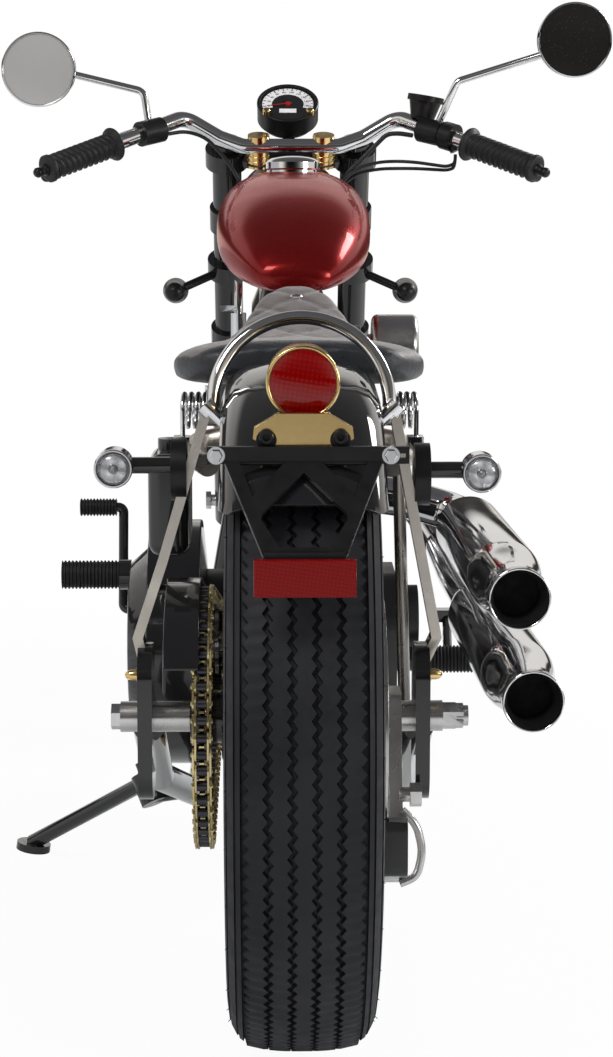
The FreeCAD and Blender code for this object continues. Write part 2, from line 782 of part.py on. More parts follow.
def rear_axle():
    """The axle with its spacers, collars and end nuts."""
    z = REAR_TYRE_RADIUS
    inner_left = LEFT_PLATE_X + PLATE_THICK / 2
    outer_left = LEFT_PLATE_X - PLATE_THICK / 2
    inner_right = RIGHT_PLATE_X - PLATE_THICK / 2
    outer_right = RIGHT_PLATE_X + PLATE_THICK / 2
    gap = HUB_GAP
    nut = bar((outer_right + COLLAR_LENGTH - 4, 0, z), (AXLE_RIGHT_END - 5, 0, z), 13.5)
    slots = [box((AXLE_RIGHT_END - 12, AXLE_RIGHT_END), (-16, 16), (z - 2, z + 2)),
             box((AXLE_RIGHT_END - 12, AXLE_RIGHT_END), (-2, 2), (z - 16, z + 16))]
    axle = rod((AXLE_LEFT_END, 0, z), (AXLE_RIGHT_END, 0, z), REAR_AXLE_RADIUS)
    return fused([
        axle,
        rod((inner_left, 0, z), (REAR_HUB_LEFT - gap, 0, z), SPACER_RADIUS),
        rod((outer_left - COLLAR_LENGTH, 0, z), (outer_left, 0, z), SPACER_RADIUS),
        bar((AXLE_LEFT_END, 0, z), (outer_left - COLLAR_LENGTH + 2, 0, z), 13),
        rod((DISC_X + 19, 0, z), (inner_right, 0, z), SPACER_RADIUS),
        rod((outer_right, 0, z), (outer_right + COLLAR_LENGTH - 4, 0, z), SPACER_RADIUS),
        nut.cut(slots),
    ])


def rear_caliper():
    """The caliper astride the disc, hung from a plate on the axle, with its bolt and its hose."""
    z = REAR_TYRE_RADIUS
    left = DISC_X + DISC_THICK / 2 + 3.5
    hanger = plate([(-24, z + 26), (26, z + 26), (26, z - 30), (-14, z - 122), (-74, z - 112), (-34, z - 20)],
                   left, left + 13, 9)
    body = plate([(-96, z - 76), (-14, z - 98), (-8, z - 150), (-34, z - 158), (-98, z - 132)],
                 DISC_X - 14, DISC_X + 22, 12)
    slot = rod((DISC_X - DISC_THICK / 2 - 1.5, 0, z), (DISC_X + DISC_THICK / 2 + 1.5, 0, z), DISC_RADIUS + 6)
    bore = rod((left - 1, 0, z), (left + 14, 0, z), REAR_AXLE_RADIUS + SEAT_GAP)
    spacer = rod((left + 10, -50, z - 66), (left + 22, -50, z - 66), 7)
    head = bar((left + 20, -50, z - 66), (left + 31, -50, z - 66), 12)
    hose = cable([(DISC_X + 18, -62, z - 78), (DISC_X + 32, -64, z - 92), (DISC_X + 38, -66, z - 118),
                  (DISC_X + 32, -68, z - 142), (DISC_X + 16, -70, z - 148)], 4)
    return fused([hanger, body.cut(slot), spacer, head, hose]).cut(bore)


# Engine

def crankcase():
    """The crankcase and gearbox casting, with the timing cover on its right."""
    y, z = CRANK_Y, CRANK_Z
    outline = [(y + 115, z - 62), (y + 115, z + 58), (y + 65, DECK_Z), (y - 248, DECK_Z), (y - 260, z - 47),
               (y - 200, z - 106), (y + 70, z - 106)]
    body = plate(outline, CASE_LEFT, CASE_RIGHT, 28)
    neck = rod((PRIMARY_IN, y + PRIMARY_AHEAD, z), (CASE_LEFT, y + PRIMARY_AHEAD, z), 84)
    cover = plate([(y + 100, z - 57), (y + 100, z + 53), (y + 40, z + 90), (y - 60, z + 90), (y - 110, z + 38),
                   (y - 100, z - 62)], CASE_RIGHT, COVER_RIGHT, 24)
    boss = rod((COVER_RIGHT - 2, y, z + 23), (COVER_BOSS, y, z + 23), 43)
    filter_can = rod((40, y + 112, z - 32), (40, y + 170, z - 32), 34)
    sump = [box((x, x + 5), (y - 150, y + 50), (z - 114, z - 100)) for x in range(-60, 61, 20)]
    return fused([body, neck, cover, boss, filter_can] + sump)


def primary_cover():
    """The long cover over the primary drive, with a raised dome over the clutch."""
    clutch = sprocket_centres()[1]
    front = CRANK_Y + PRIMARY_AHEAD
    pieces = []
    for y, z, r in ((clutch[0], clutch[1], CLUTCH_RADIUS), (front, CRANK_Z, ENGINE_PULLEY_RADIUS)):
        pieces.append(rod((PRIMARY_IN, y, z), (PRIMARY_RIM, y, z), r))
    along = at(0, front - clutch[0], CRANK_Z - clutch[1])
    length = along.Length
    tangent = math.asin((CLUTCH_RADIUS - ENGINE_PULLEY_RADIUS) / length)
    base = math.atan2(along.z, along.y)
    web = []
    for sign in (1, -1):
        angle = base + sign * (math.pi / 2 - tangent)
        near = (clutch[0] + CLUTCH_RADIUS * math.cos(angle), clutch[1] + CLUTCH_RADIUS * math.sin(angle))
        far = (front + ENGINE_PULLEY_RADIUS * math.cos(angle), CRANK_Z + ENGINE_PULLEY_RADIUS * math.sin(angle))
        web += [near, far] if sign > 0 else [far, near]
    pieces.append(plate(web, PRIMARY_IN, PRIMARY_RIM))
    dome = Part.makeCone(CLUTCH_RADIUS - 30, CLUTCH_RADIUS - 52, PRIMARY_RIM - PRIMARY_DOME,
                         at(PRIMARY_RIM, *clutch), at(-1, 0, 0))
    return fused(pieces + [dome])


def cylinder_frame(side):
    """The tilt of a cylinder: forward for 1 and back for -1."""
    tilt = math.radians(side * V_ANGLE / 2)
    return math.sin(tilt), math.cos(tilt)


def on_cylinder(shape, side):
    """Moves a shape that stands on the origin to a cylinder's place on the crank."""
    shape.rotate(at(0, 0, 0), at(1, 0, 0), -side * V_ANGLE / 2)
    shape.translate(at(0, CRANK_Y, CRANK_Z))
    return shape


def fin(height, half_x, half_y, thick, trim):
    """One fin with cut corners."""
    corners = []
    for sx, sy in ((1, 1), (-1, 1), (-1, -1), (1, -1)):
        ends = [(sx * half_x, sy * (half_y - trim)), (sx * (half_x - trim), sy * half_y)]
        corners += ends if sx * sy > 0 else ends[::-1]
    ring = [at(x, y, height) for x, y in corners]
    return Part.Face(Part.makePolygon(ring + ring[:1])).extrude(at(0, 0, thick))


def cylinder(side):
    """A finned barrel and head, cut back where it meets its twin in the V."""
    barrel_top = BARREL_BASE + FIN_COUNT * FIN_PITCH
    head_top = barrel_top + HEAD_FINS * FIN_PITCH
    core = bar((0, 0, BARREL_BASE - 26), (0, 0, head_top), BARREL_RADIUS, 12)
    pieces = [core]
    for i in range(FIN_COUNT):
        pieces.append(fin(BARREL_BASE + (i + 0.5) * FIN_PITCH, FIN_HALF, FIN_HALF, FIN_THICK, 26))
    for i in range(HEAD_FINS):
        pieces.append(fin(barrel_top + (i + 0.5) * FIN_PITCH, FIN_HALF + 8, FIN_HALF - 2, FIN_THICK, 20))
    body = on_cylinder(fused(pieces), side)
    low = CRANK_Y + (1.5 if side > 0 else -400)
    half = box((-120, 120), (low, low + 398.5), (CRANK_Z, CRANK_Z + 500))
    deck = box((-120, 120), (CRANK_Y - 300, CRANK_Y + 300), (CRANK_Z - 10, DECK_Z + SEAT_GAP))
    return body.common(half).cut(deck)


def rocker_covers():
    """A rocker box on each head."""
    base = BARREL_BASE + (FIN_COUNT + HEAD_FINS) * FIN_PITCH
    boxes = []
    for side in (1, -1):
        lower = fin(base, 62, 60, 0.5 * ROCKER_HIGH, 12)
        upper = fin(base + 0.5 * ROCKER_HIGH, 52, 50, 0.5 * ROCKER_HIGH, 14)
        boxes.append(on_cylinder(lower.fuse(upper), side))
    return boxes


def carburettor():
    """The carburettor on the manifold between the cylinders, with its float bowl."""
    z = CRANK_Z + 283
    manifold = rod((20, CRANK_Y - 34.4, z), (20, CRANK_Y + 34.4, z), 16)
    branch = rod((20, CRANK_Y, z), (66, CRANK_Y, z + 35), 16)
    body = rod((44, CRANK_Y, AIR_CLEANER_Z - 12), (AIR_CLEANER_IN - SEAT_GAP, CRANK_Y, AIR_CLEANER_Z - 12), 28)
    bowl = rod((66, CRANK_Y, z + 22), (66, CRANK_Y, AIR_CLEANER_Z - 20), 20)
    cap = rod((66, CRANK_Y, AIR_CLEANER_Z - 4), (66, CRANK_Y, AIR_CLEANER_Z + 26), 17)
    return fused([manifold, branch, body, bowl, cap])


def air_cleaner():
    """A drum with rounded edges over the carburettor's mouth."""
    drum = rod((AIR_CLEANER_IN, CRANK_Y, AIR_CLEANER_Z), (AIR_CLEANER_OUT, CRANK_Y, AIR_CLEANER_Z), AIR_CLEANER_RADIUS)
    return drum.makeFillet(8, [edge for edge in drum.Edges if len(edge.Vertexes) == 1])


def muffler_front(which, ahead=0.0):
    """The middle of a muffler's front end, or a point on its axis further ahead."""
    x, z = which
    length = MUFFLER_FRONT - MUFFLER_REAR + ahead
    angle = math.atan(MUFFLER_SPLAY)
    return (x - length * math.sin(angle), MUFFLER_REAR + length * math.cos(angle), z)


def exhaust_pipes():
    """The two header pipes, from the heads to their mufflers, with a flange at each port."""
    rear_port = [at_crank(36, -174.7, 235.4), at_crank(38, -218, 218), at_crank(128, -232, 208)]
    front_port = [at_crank(36, 174.7, 235.4), at_crank(36, 210, 220.8), at_crank(118, 210, 194),
                  at_crank(172, 185, 130), at_crank(194, 100, 100)]
    pipes = []
    for port, which, lead in ((rear_port, UPPER_MUFFLER, 50), (front_port, LOWER_MUFFLER, 200)):
        route = port + [muffler_front(which, lead), muffler_front(which, SEAT_GAP)]
        pipes.append(tube(route, EXHAUST_BEND, EXHAUST_RADIUS))
    return pipes


def mufflers():
    """Two chrome mufflers, one above the other, open at their mouths."""
    shapes = []
    for x, z in (UPPER_MUFFLER, LOWER_MUFFLER):
        length = MUFFLER_FRONT - MUFFLER_REAR
        outline = [(0, MUFFLER_MOUTH), (12, MUFFLER_MOUTH), (20, MUFFLER_NECK), (44, MUFFLER_NECK + 1),
                   (115, MUFFLER_RADIUS), (length - 75, MUFFLER_RADIUS), (length, EXHAUST_RADIUS + 3)]
        bore = MUFFLER_NECK - MUFFLER_SKIN
        inner = [(-1, MUFFLER_MOUTH - MUFFLER_SKIN), (12, MUFFLER_MOUTH - MUFFLER_SKIN), (20, bore), (44, bore)]
        solid = Part.Face(Part.makePolygon(
            [at(0, y, r) for y, r in [(0, 0)] + outline + [(length, 0), (0, 0)]]))
        hollow = Part.Face(Part.makePolygon(
            [at(0, y, r) for y, r in [(-1, 0)] + inner + [(inner[-1][0], 0), (-1, 0)]]))
        body = solid.revolve(at(0, 0, 0), at(0, 1, 0), 360).cut(hollow.revolve(at(0, 0, 0), at(0, 1, 0), 360))
        body.rotate(at(0, 0, 0), at(0, 0, 1), math.degrees(math.atan(MUFFLER_SPLAY)))
        body.translate(at(x, MUFFLER_REAR, z))
        shapes.append(body)
    return shapes


# Bodywork

def section(y, half, low, high, top_corner, low_corner):
    """A rounded cross-section at one station along the machine."""
    def arc(cx, cz, r, start):
        points = [at(cx + r * math.cos(math.radians(a)), y, cz + r * math.sin(math.radians(a)))
                  for a in (start, start + 45, start + 90)]
        return Part.Arc(*points).toShape(), points[0], points[2]
    corners = [
        arc(half - top_corner, high - top_corner, top_corner, 0),
        arc(-half + top_corner, high - top_corner, top_corner, 90),
        arc(-half + low_corner, low + low_corner, low_corner, 180),
        arc(half - low_corner, low + low_corner, low_corner, 270),
    ]
    edges = []
    for i, (edge, _, end) in enumerate(corners):
        edges.append(edge)
        edges.append(Part.LineSegment(end, corners[(i + 1) % 4][1]).toShape())
    return Part.Wire(edges)


def tank_body(grow=0.0):
    """The tank's shell, thickened by grow on every side."""
    stations = [
        (-195, 42, -121, -83, 18, 14),
        (-160, 62, -122, -55, 30, 26),
        (-110, 79, -123, -29, 44, 38),
        (-50, 90, -121, -9, 54, 46),
        (20, 95, -116, 6, 60, 50),
        (100, 95.5, -109, 16, 62, 50),
        (180, 90, -98, 20, 58, 46),
        (250, 77, -82, 16, 48, 38),
        (300, 60, -67, 6, 35, 28),
        (340, 36, -51, -11, 18, 16),
    ]
    return Part.makeLoft([section(CRANK_Y + y, half + grow, STEER_Z + low - grow, STEER_Z + high + grow, top, bottom)
                          for y, half, low, high, top, bottom in stations], True, True)


def fuel_tank():
    """A teardrop tank over the backbone, with its domed filler cap."""
    reach = BACKBONE_RADIUS + SEAT_GAP
    groove = tube(backbone_route(), BACKBONE_BEND, reach)
    tunnel = box((-reach, reach), (CRANK_Y - 240, CRANK_Y + 360), (STEER_Z - 225, STEER_Z - 90))
    y = CRANK_Y + 150
    cap = rod((-1, y, STEER_Z + 5), (-1, y, STEER_Z + 32), CAP_RADIUS)
    dome = Part.makeCone(CAP_RADIUS - 2, CAP_RADIUS - 18, 9, at(-1, y, STEER_Z + 32), at(0, 0, 1))
    return fused([tank_body().cut([groove, tunnel]), cap, dome])


def fuel_tap():
    """The tap under the tank's left rear corner, with its filter bowl."""
    x, y = -67, CRANK_Y - 100
    neck = rod((x, y, STEER_Z - 155), (x, y, STEER_Z - 60), 5)
    bowl = rod((x, y, STEER_Z - 186), (x, y, STEER_Z - 149), 9.2)
    lever = box((x - 22, x), (y - 4, y + 4), (STEER_Z - 147, STEER_Z - 140))
    return fused([neck, bowl, lever]).cut(tank_body(SEAT_GAP))


def seat():
    """The saddle's pad: wide and low at the back, narrow and raised at the nose."""
    stations = [
        (45, 26, 25, 52, 10, 6),
        (-15, 50, 19, 43, 10, 6),
        (-95, 72, 4, 31, 10, 8),
        (-175, 100, -15, 22, 12, 8),
        (-245, 127, -33, 17, 18, 12),
        (-300, 122, -32, 17, 18, 12),
        (-343, 97, -20, 16, 14, 10),
    ]
    cushion = Part.makeLoft([section(SEAT_TUBE_Y + y, half, CROWN_Z + low, CROWN_Z + high, top, bottom)
                             for y, half, low, high, top, bottom in stations], True, True)
    reach = FENDER_HALF + 6
    space = rod((-reach, 0, REAR_TYRE_RADIUS), (reach, 0, REAR_TYRE_RADIUS), fender_outer() + 1)
    return cushion.cut(space)


def fender_outer():
    return REAR_TYRE_RADIUS + FENDER_GAP + FENDER_SKIN


def seat_springs():
    """A sideways coil under each rear corner of the saddle, with a leg up to the pad and one down to its foot."""
    springs = []
    coil_z = (SPRING_TOP + RAIL_Z) / 2 + 10
    turn = math.pi / 4
    count = 8 * SPRING_TURNS + 4
    for side in (-1, 1):
        foot_x = side * (SPRING_X + SPRING_REACH)
        foot_y = SPRING_Y - SPRING_RADIUS
        points = [(foot_x, foot_y, RAIL_Z + 12)]
        for i in range(count):
            angle = math.pi - (i + 0.5) * turn
            points.append((side * (SPRING_X + SPRING_REACH - 2 * SPRING_REACH * i / (count - 1)),
                           SPRING_Y + SPRING_RADIUS * math.cos(angle) / math.cos(turn / 2),
                           coil_z + SPRING_RADIUS * math.sin(angle) / math.cos(turn / 2)))
        points.append((side * (SPRING_X - SPRING_REACH), SPRING_Y + SPRING_RADIUS, SPRING_TOP))
        foot = box((foot_x - 9, foot_x + 7), (foot_y - 11, foot_y + 11), (RAIL_Z, RAIL_Z + 19))
        springs.append(cable(points, SPRING_WIRE).fuse(foot.cut(rail(side, SEAT_GAP))))
    return springs


def rear_fender():
    """A shell round the top of the rear tyre, cut level behind, with its side walls turned down."""
    inner = REAR_TYRE_RADIUS + FENDER_GAP
    outer = fender_outer()
    h = FENDER_HALF
    t = FENDER_SKIN
    lip = inner - FENDER_DEPTH
    right = [(31, outer), (50, outer - 4), (62, outer - 10), (70, outer - 19), (h, outer - 34), (h, lip)]
    back = [(h - t, lip), (h - t, outer - 35), (68, outer - 21), (60, outer - 13), (49, outer - 7), (31, inner)]
    profile = right + back + [(-x, r) for x, r in back[::-1] + right[::-1]]
    shell = turned(profile, 0, REAR_TYRE_RADIUS, FENDER_REAR + FENDER_FRONT, -FENDER_FRONT)
    level = REAR_TYRE_RADIUS + inner * math.cos(math.radians(FENDER_REAR)) - 8
    return shell.cut(box((-h - 1, h + 1), (-outer - 1, -100), (level - 200, level)))


def grab_loop():
    """A chrome arch behind the saddle, on two short posts out of the fender's sides."""
    ends = [at_crown(side * LOOP_HALF, LOOP_REAR, -37) for side in (-1, 1)]
    top = at_crown(0, LOOP_REAR + 28, LOOP_HIGH - LOOP_RADIUS)
    spine = Part.Wire(Part.Arc(at(*ends[0]), at(*top), at(*ends[1])).toShape())
    side_way = spine.Edges[0].tangentAt(spine.Edges[0].FirstParameter)
    ring = Part.Wire(Part.makeCircle(LOOP_RADIUS, at(*ends[0]), side_way))
    pieces = [spine.makePipeShell([ring], True, False)]
    for side in (-1, 1):
        start = at_crown(side * (LOOP_HALF + 8), LOOP_REAR, -34)
        pieces.append(rod(start, at_crown(side * (LOOP_HALF - 14), LOOP_REAR, -56), 6.2))
        pieces.append(rod(start, at_crown(side * (LOOP_HALF + 1), LOOP_REAR, -41), 9.5))
    wall = FENDER_HALF + SEAT_GAP
    return fused(pieces).cut(box((-wall, wall), (LOOP_REAR - 40, LOOP_REAR + 12), (CROWN_Z - 105, CROWN_Z - 33)))


def tail_lamp():
    """The lamp's ring and body on a winged bracket, whose wings are hollowed round their bolts."""
    z = CROWN_Z - 3
    body = rod((0, LAMP_REAR, z), (0, LAMP_REAR + 48, z), LAMP_RADIUS)
    recess = rod((0, LAMP_REAR - 1, z), (0, LAMP_REAR + 8, z), LAMP_RADIUS - LAMP_RIM)
    low = CROWN_Z - 62
    wing = [(-44, low + 12), (-43, low + 22), (-22, low + 34), (22, low + 34), (43, low + 22), (44, low + 12),
            (22, low), (-22, low)]
    hollows = [(side * WING_BOLT_X, low + 11, 9) for side in (-1, 1)]
    bracket = flat(wing, LAMP_BRACKET_REAR, LAMP_BRACKET_REAR + 12, hollows)
    arm = box((-12, 12), (LAMP_BRACKET_REAR + 10, LAMP_BRACKET_REAR + 62), (low + 3, low + 27))
    shell = rod((-60, 0, REAR_TYRE_RADIUS), (60, 0, REAR_TYRE_RADIUS), fender_outer() + SEAT_GAP)
    return fused([body, bracket, arm]).cut([recess, shell])


def tail_lamp_lens():
    z = CROWN_Z - 3
    return rod((0, LAMP_REAR + 1, z), (0, LAMP_REAR + 8 - SEAT_GAP, z), LAMP_RADIUS - LAMP_RIM - SEAT_GAP)


def reflector_seat():
    """The Y and Z of the plate bracket's lower end, on its rear face."""
    lean = math.atan2(PLATE_LEAN, PLATE_DROP)
    y = LAMP_BRACKET_REAR - SEAT_GAP - PLATE_BAR_THICK / 2 - PLATE_LEAN
    return y - PLATE_TRUSS_THICK / 2 / math.cos(lean), CROWN_Z - 68 - PLATE_DROP


def plate_bracket():
    """A flat cut plate behind the lamp's bracket: a drilled bar, folded to a truss down to the reflector."""
    front = LAMP_BRACKET_REAR - SEAT_GAP
    back = front - PLATE_BAR_THICK
    top = CROWN_Z - 56
    low = CROWN_Z - 71
    bar_part = box((-84, 92), (back, front), (low, top))
    slot = box((84, 89), (back - 1, front + 1), (CROWN_Z - 66, CROWN_Z - 62))
    reach = math.hypot(PLATE_DROP, PLATE_LEAN)
    truss = [(-70, 0), (70, 0), (35, -reach), (-35, -reach)]
    windows = [
        [(-56, -4), (-16, -4), (-44, -44)],
        [(56, -4), (16, -4), (44, -44)],
        [(0, -16), (36, -62), (37, -70), (21, -reach + 10), (-21, -reach + 10), (-37, -70), (-36, -62)],
    ]
    sheet = slab(truss, PLATE_TRUSS_THICK)
    for window in windows:
        sheet = sheet.cut(slab(window, 3 * PLATE_TRUSS_THICK))
    sheet.rotate(at(0, 0, 0), at(1, 0, 0), -math.degrees(math.atan2(PLATE_LEAN, PLATE_DROP)))
    sheet.translate(at(0, (back + front) / 2, low + 3))
    holes = [rod((side * PLATE_HOLE_X, back - 1, PLATE_HOLE_Z), (side * PLATE_HOLE_X, front + 1, PLATE_HOLE_Z),
                 PLATE_HOLE_RADIUS) for side in (-1, 1)]
    room = box((-100, 100), (front, front + 60), (low - 20, top + 20))
    y, z = reflector_seat()
    flange = box((-34, 34), (y - 4, y + 5), (z - 10, z + 6))
    return fused([bar_part.cut(slot), sheet.cut(room), flange]).cut(holes)


def rear_reflector():
    y, z = reflector_seat()
    return box((-43, 43), (y - 4 - SEAT_GAP - 8, y - 4 - SEAT_GAP), (z - 31, z + 1))


def rear_indicators():
    """Round lamps on stalks from the side discs."""
    lamps = []
    for side, x, z in ((-1, -178, LEFT_DISC_Z), (1, 172, RIGHT_DISC_Z)):
        cup = Part.makeCone(12, 18, 16, at(x, 22, z + 4), at(0, -1, 0))
        lamp = rod((x, -26, z + 4), (x, 7, z + 4), 18)
        stalk = rod((x, 2, z + 4), (side * (SIDE_DISC_X + SIDE_DISC_THICK + SEAT_GAP), 2, z + 4), 8)
        lamps.append(fused([lamp, cup, stalk]))
    return lamps


def side_reflectors():
    """The round discs on the struts that carry the rear indicators."""
    discs = []
    for side, z in ((-1, LEFT_DISC_Z), (1, RIGHT_DISC_Z)):
        body = rod((side * SIDE_DISC_X, 2, z), (side * (SIDE_DISC_X + SIDE_DISC_THICK), 2, z), 30)
        rest = body.cut(strut(side, SEAT_GAP))
        discs.append(max(rest.Solids, key=lambda solid: solid.Volume))
    return discs


# Controls and the front end

def triple_clamps():
    """The two fork clamps on the steering stem."""
    pieces = [rod(steer(LOWER_CLAMP + 4), steer(CLAMP_THICK - 2), STEM_RADIUS)]
    for low in (CLAMP_GAP, LOWER_CLAMP - CLAMP_GAP):
        body = rod(steer(low, 0, 18), steer(low + CLAMP_THICK, 0, 18), 34)
        pieces.append(body)
        for side in (-1, 1):
            pieces.append(rod(steer(low, side * FORK_X, FORK_OFFSET), steer(low + CLAMP_THICK, side * FORK_X, FORK_OFFSET),
                              CLAMP_HALF))
            pieces.append(bar(steer(low + CLAMP_THICK / 2, 0, 22), steer(low + CLAMP_THICK / 2, side * FORK_X, FORK_OFFSET),
                              CLAMP_THICK / 2, 8))
    tubes = [rod(steer(60, side * FORK_X, FORK_OFFSET), steer(-300, side * FORK_X, FORK_OFFSET),
                 FORK_TUBE_RADIUS + SEAT_GAP) for side in (-1, 1)]
    return fused(pieces).cut(tubes)


def fork_legs():
    legs = []
    bottom = FORK_AXLE - 34
    for side in (-1, 1):
        x = side * FORK_X
        upper = rod(steer(CLAMP_THICK + 12, x, FORK_OFFSET), steer(bottom + 60, x, FORK_OFFSET), FORK_TUBE_RADIUS)
        lower = rod(steer(bottom + FORK_LEG_LENGTH, x, FORK_OFFSET), steer(bottom, x, FORK_OFFSET), FORK_LEG_RADIUS)
        hole = rod((x - 40, FRONT_AXLE_Y, FRONT_TYRE_RADIUS), (x + 40, FRONT_AXLE_Y, FRONT_TYRE_RADIUS),
                   FRONT_AXLE_RADIUS + SEAT_GAP)
        legs.append(upper.fuse(lower).cut(hole))
    return legs


def front_axle():
    reach = FORK_X + FORK_LEG_RADIUS + 6
    y, z = FRONT_AXLE_Y, FRONT_TYRE_RADIUS
    return fused([
        rod((-reach, y, z), (reach, y, z), FRONT_AXLE_RADIUS),
        bar((-reach - 8, y, z), (-reach, y, z), 14),
        bar((reach, y, z), (reach + 8, y, z), 14),
    ])


def handlebar():
    return tube([at_head(*p) for p in BAR_POINTS], BAR_BEND, BAR_RADIUS)


def grips():
    """Rubber sleeves on the ends of the bar, each with an inner flange and an end collar."""
    sleeves = []
    for side in (-1, 1):
        end = at(*at_head(side * 322, -168, 21))
        root = at(*at_head(side * 226, -90, 59))
        along = root - end
        length = along.Length
        along.normalize()
        start = end - along * 4
        sleeve = Part.makeCylinder(GRIP_RADIUS, length - 12, start, along)
        collar = Part.makeCylinder(GRIP_RADIUS + 2, 8, start, along)
        flange = Part.makeCylinder(22, 5, start + along * (length - 17), along)
        hole = Part.makeCylinder(BAR_RADIUS + SEAT_GAP, length + 60, end - along * SEAT_GAP, along)
        sleeves.append(fused([sleeve, collar, flange]).cut(hole))
    return sleeves


def risers():
    """Brass posts from the upper clamp that hold the bar."""
    posts = []
    for side in (-1, 1):
        x = side * 45
        post = rod(steer(10, x, 14), at_head(x, -10, 67), 15)
        hole = rod(at_head(x - 30, -10, 51), at_head(x + 30, -10, 51), BAR_RADIUS + SEAT_GAP)
        posts.append(post.cut([hole, clamp_space()]))
    return posts


def clamp_space():
    """The room below the upper clamp's top face, which what stands on it keeps out of."""
    return rod(steer(-60), steer(CLAMP_TOP + SEAT_GAP), 190)


def hand_controls():
    """Perches with their levers, the switch box and the brake reservoir."""
    sets = []
    for side in (-1, 1):
        perch = rod(at_head(side * 178, -48, 74), at_head(side * 206, -70, 67), 17)
        lever = tube([at_head(side * 196, -40, 75), at_head(side * 230, -34, 67), at_head(side * 330, -108, 11)], 30, 5)
        neck = rod(at_head(side * 192, -60, 71), at_head(side * 196, -36, 75), 8)
        ball = Part.makeSphere(8, at(*at_head(side * 330, -108, 11)))
        pieces = [perch, lever, neck, ball]
        if side > 0:
            low, high = at(*at_head(180, -36, 88)), at(*at_head(185.5, -36, 120))
            way = high - low
            way.normalize()
            pieces.append(Part.makeCone(16, 22, 24, low, way))
            pieces.append(Part.makeCylinder(25, 8, low + way * 24, way))
            pieces.append(rod(at_head(190, -46, 70), tuple(low + way * 4), 10))
            pieces.append(rod(at_head(208, -72, 66), at_head(222, -82.5, 61.5), 19))
            pieces.append(rod(at_head(214, -80, 62), at_head(222, -84, 44), 6.5))
        sets.append(fused(pieces).cut(tube([at_head(*p) for p in BAR_POINTS], BAR_BEND, BAR_RADIUS + SEAT_GAP)))
    return sets


def control_cables():
    """The brake hose, the two throttle cables and the clutch cable, from the controls into the headlamp."""
    throttle = [(222.6, -84.3, 40), (222, -86, 28), (212, -72, 23.5), (195, -56, 26), (172, -40, 29.5),
                (148, -28, 31), (122, -27, 30), (96, -30, 23), (76, -32, 10), (62, -24, -14), (54, -2, -40),
                (48, 42, -56), (36, 84, -54), (24, 128, -48)]
    second = [(x + 1, y + 7, z - 7 + 3 * math.sin(x / 30)) for x, y, z in throttle[2:-4]]
    second = [(222.6, -84.3, 36.5), (221, -86, 22)] + second[:-1] + [(56, -18, -26), (47, 8, -50), (39, 50, -64),
                                                                   (28, 92, -60), (14, 130, -54)]
    hose = [(166, -44, 66), (148, -32, 69), (132, -25, 68), (112, -24, 48), (96, -26, 32), (78, -30, 16),
            (68, -20, -6), (62, 4, -30), (58, 40, -46), (46, 84, -44), (32, 130, -38)]
    clutch = [(-168, -42, 68), (-145, -28, 72), (-119, -24, 64), (-100, -26, 46), (-80, -30, 20), (-66, -22, -6),
              (-58, 2, -32), (-50, 44, -48), (-38, 86, -46), (-24, 130, -40)]
    perches = [rod(at_head(side * 178, -48, 74), at_head(side * 206, -70, 67), 17 + SEAT_GAP) for side in (-1, 1)]
    elbow = rod(at_head(214, -80, 62), at_head(222, -84, 44), 6.5 + SEAT_GAP)
    pieces = []
    for route, radius in ((throttle, 2.3), (second, 2.3), (hose, 3.2), (clutch, 2.6)):
        pieces.append(cable([at_head(*p) for p in route], radius).cut(perches + [elbow, headlamp_back(SEAT_GAP)]))
    return pieces


def mirrors():
    """A round mirror on a bent stalk at each perch."""
    left = [(-193, -59, 73), (-201, -54, 125), (-310, -50, 151)]
    right = [(196, -62, 71), (225, -70, 138), (345, -70, 175)]
    pair = []
    for side, route, x, z in ((-1, left, -343, 154), (1, right, 383, 193)):
        head = rod(at_head(x, route[-1][1] - 12, z), at_head(x, route[-1][1] + 2, z), MIRROR_RADIUS)
        back = Part.makeCone(MIRROR_RADIUS, MIRROR_RADIUS - 22, 9, at(*at_head(x, route[-1][1] + 2, z)), at(0, 1, 0))
        perch = rod(at_head(side * 170, -41.7, 76.8), at_head(side * 214, -76.3, 64.5), 17 + SEAT_GAP)
        stalk = tube([at_head(*p) for p in route], 14, 5)
        pair.append(fused([stalk, head, back]).cut(perch))
    return pair


def speedometer():
    """A bell-shaped case on a post from the upper clamp."""
    axis = at(0, -0.61, 0.79)
    centre = at(*at_head(-4, 62, 105))
    body = Part.makeCylinder(43, 24, centre - axis * 18, axis)
    bell = Part.makeCone(24, 43, 22, centre - axis * 40, axis)
    post = rod(steer(10, 0, 22), at_head(-4, 68, 80), 9)
    return fused([body, bell, post]).cut(clamp_space())


def headlamp_back(grow=0.0):
    """The shell's tapered back, thickened by grow."""
    y, z = HEADLAMP_Y, HEADLAMP_Z
    shell = Part.makeCone(50 + grow, 80 + grow, 72, at(0, y - 78 - grow, z), at(0, 1, 0))
    back = Part.makeCone(26 + grow, 50 + grow, 14, at(0, y - 92 - grow, z), at(0, 1, 0))
    return fused([shell, back])


def headlamp():
    """The headlamp shell with its brackets to the fork tubes."""
    y, z = HEADLAMP_Y, HEADLAMP_Z
    rim = rod((0, y - 6, z), (0, y + 12, z), 82)
    recess = rod((0, y + 2, z), (0, y + 13, z), 76)
    pieces = [headlamp_back(), rim]
    holes = []
    for side in (-1, 1):
        x = side * FORK_X
        pieces.append(rod(steer(-70, x, FORK_OFFSET), steer(-106, x, FORK_OFFSET), FORK_TUBE_RADIUS + 5))
        pieces.append(bar(steer(-88, side * 86, FORK_OFFSET + 8), (side * 62, y - 30, z), 9, 4))
        holes.append(rod(steer(-40, x, FORK_OFFSET), steer(-150, x, FORK_OFFSET), FORK_TUBE_RADIUS + SEAT_GAP))
    return fused(pieces).cut([recess] + holes)


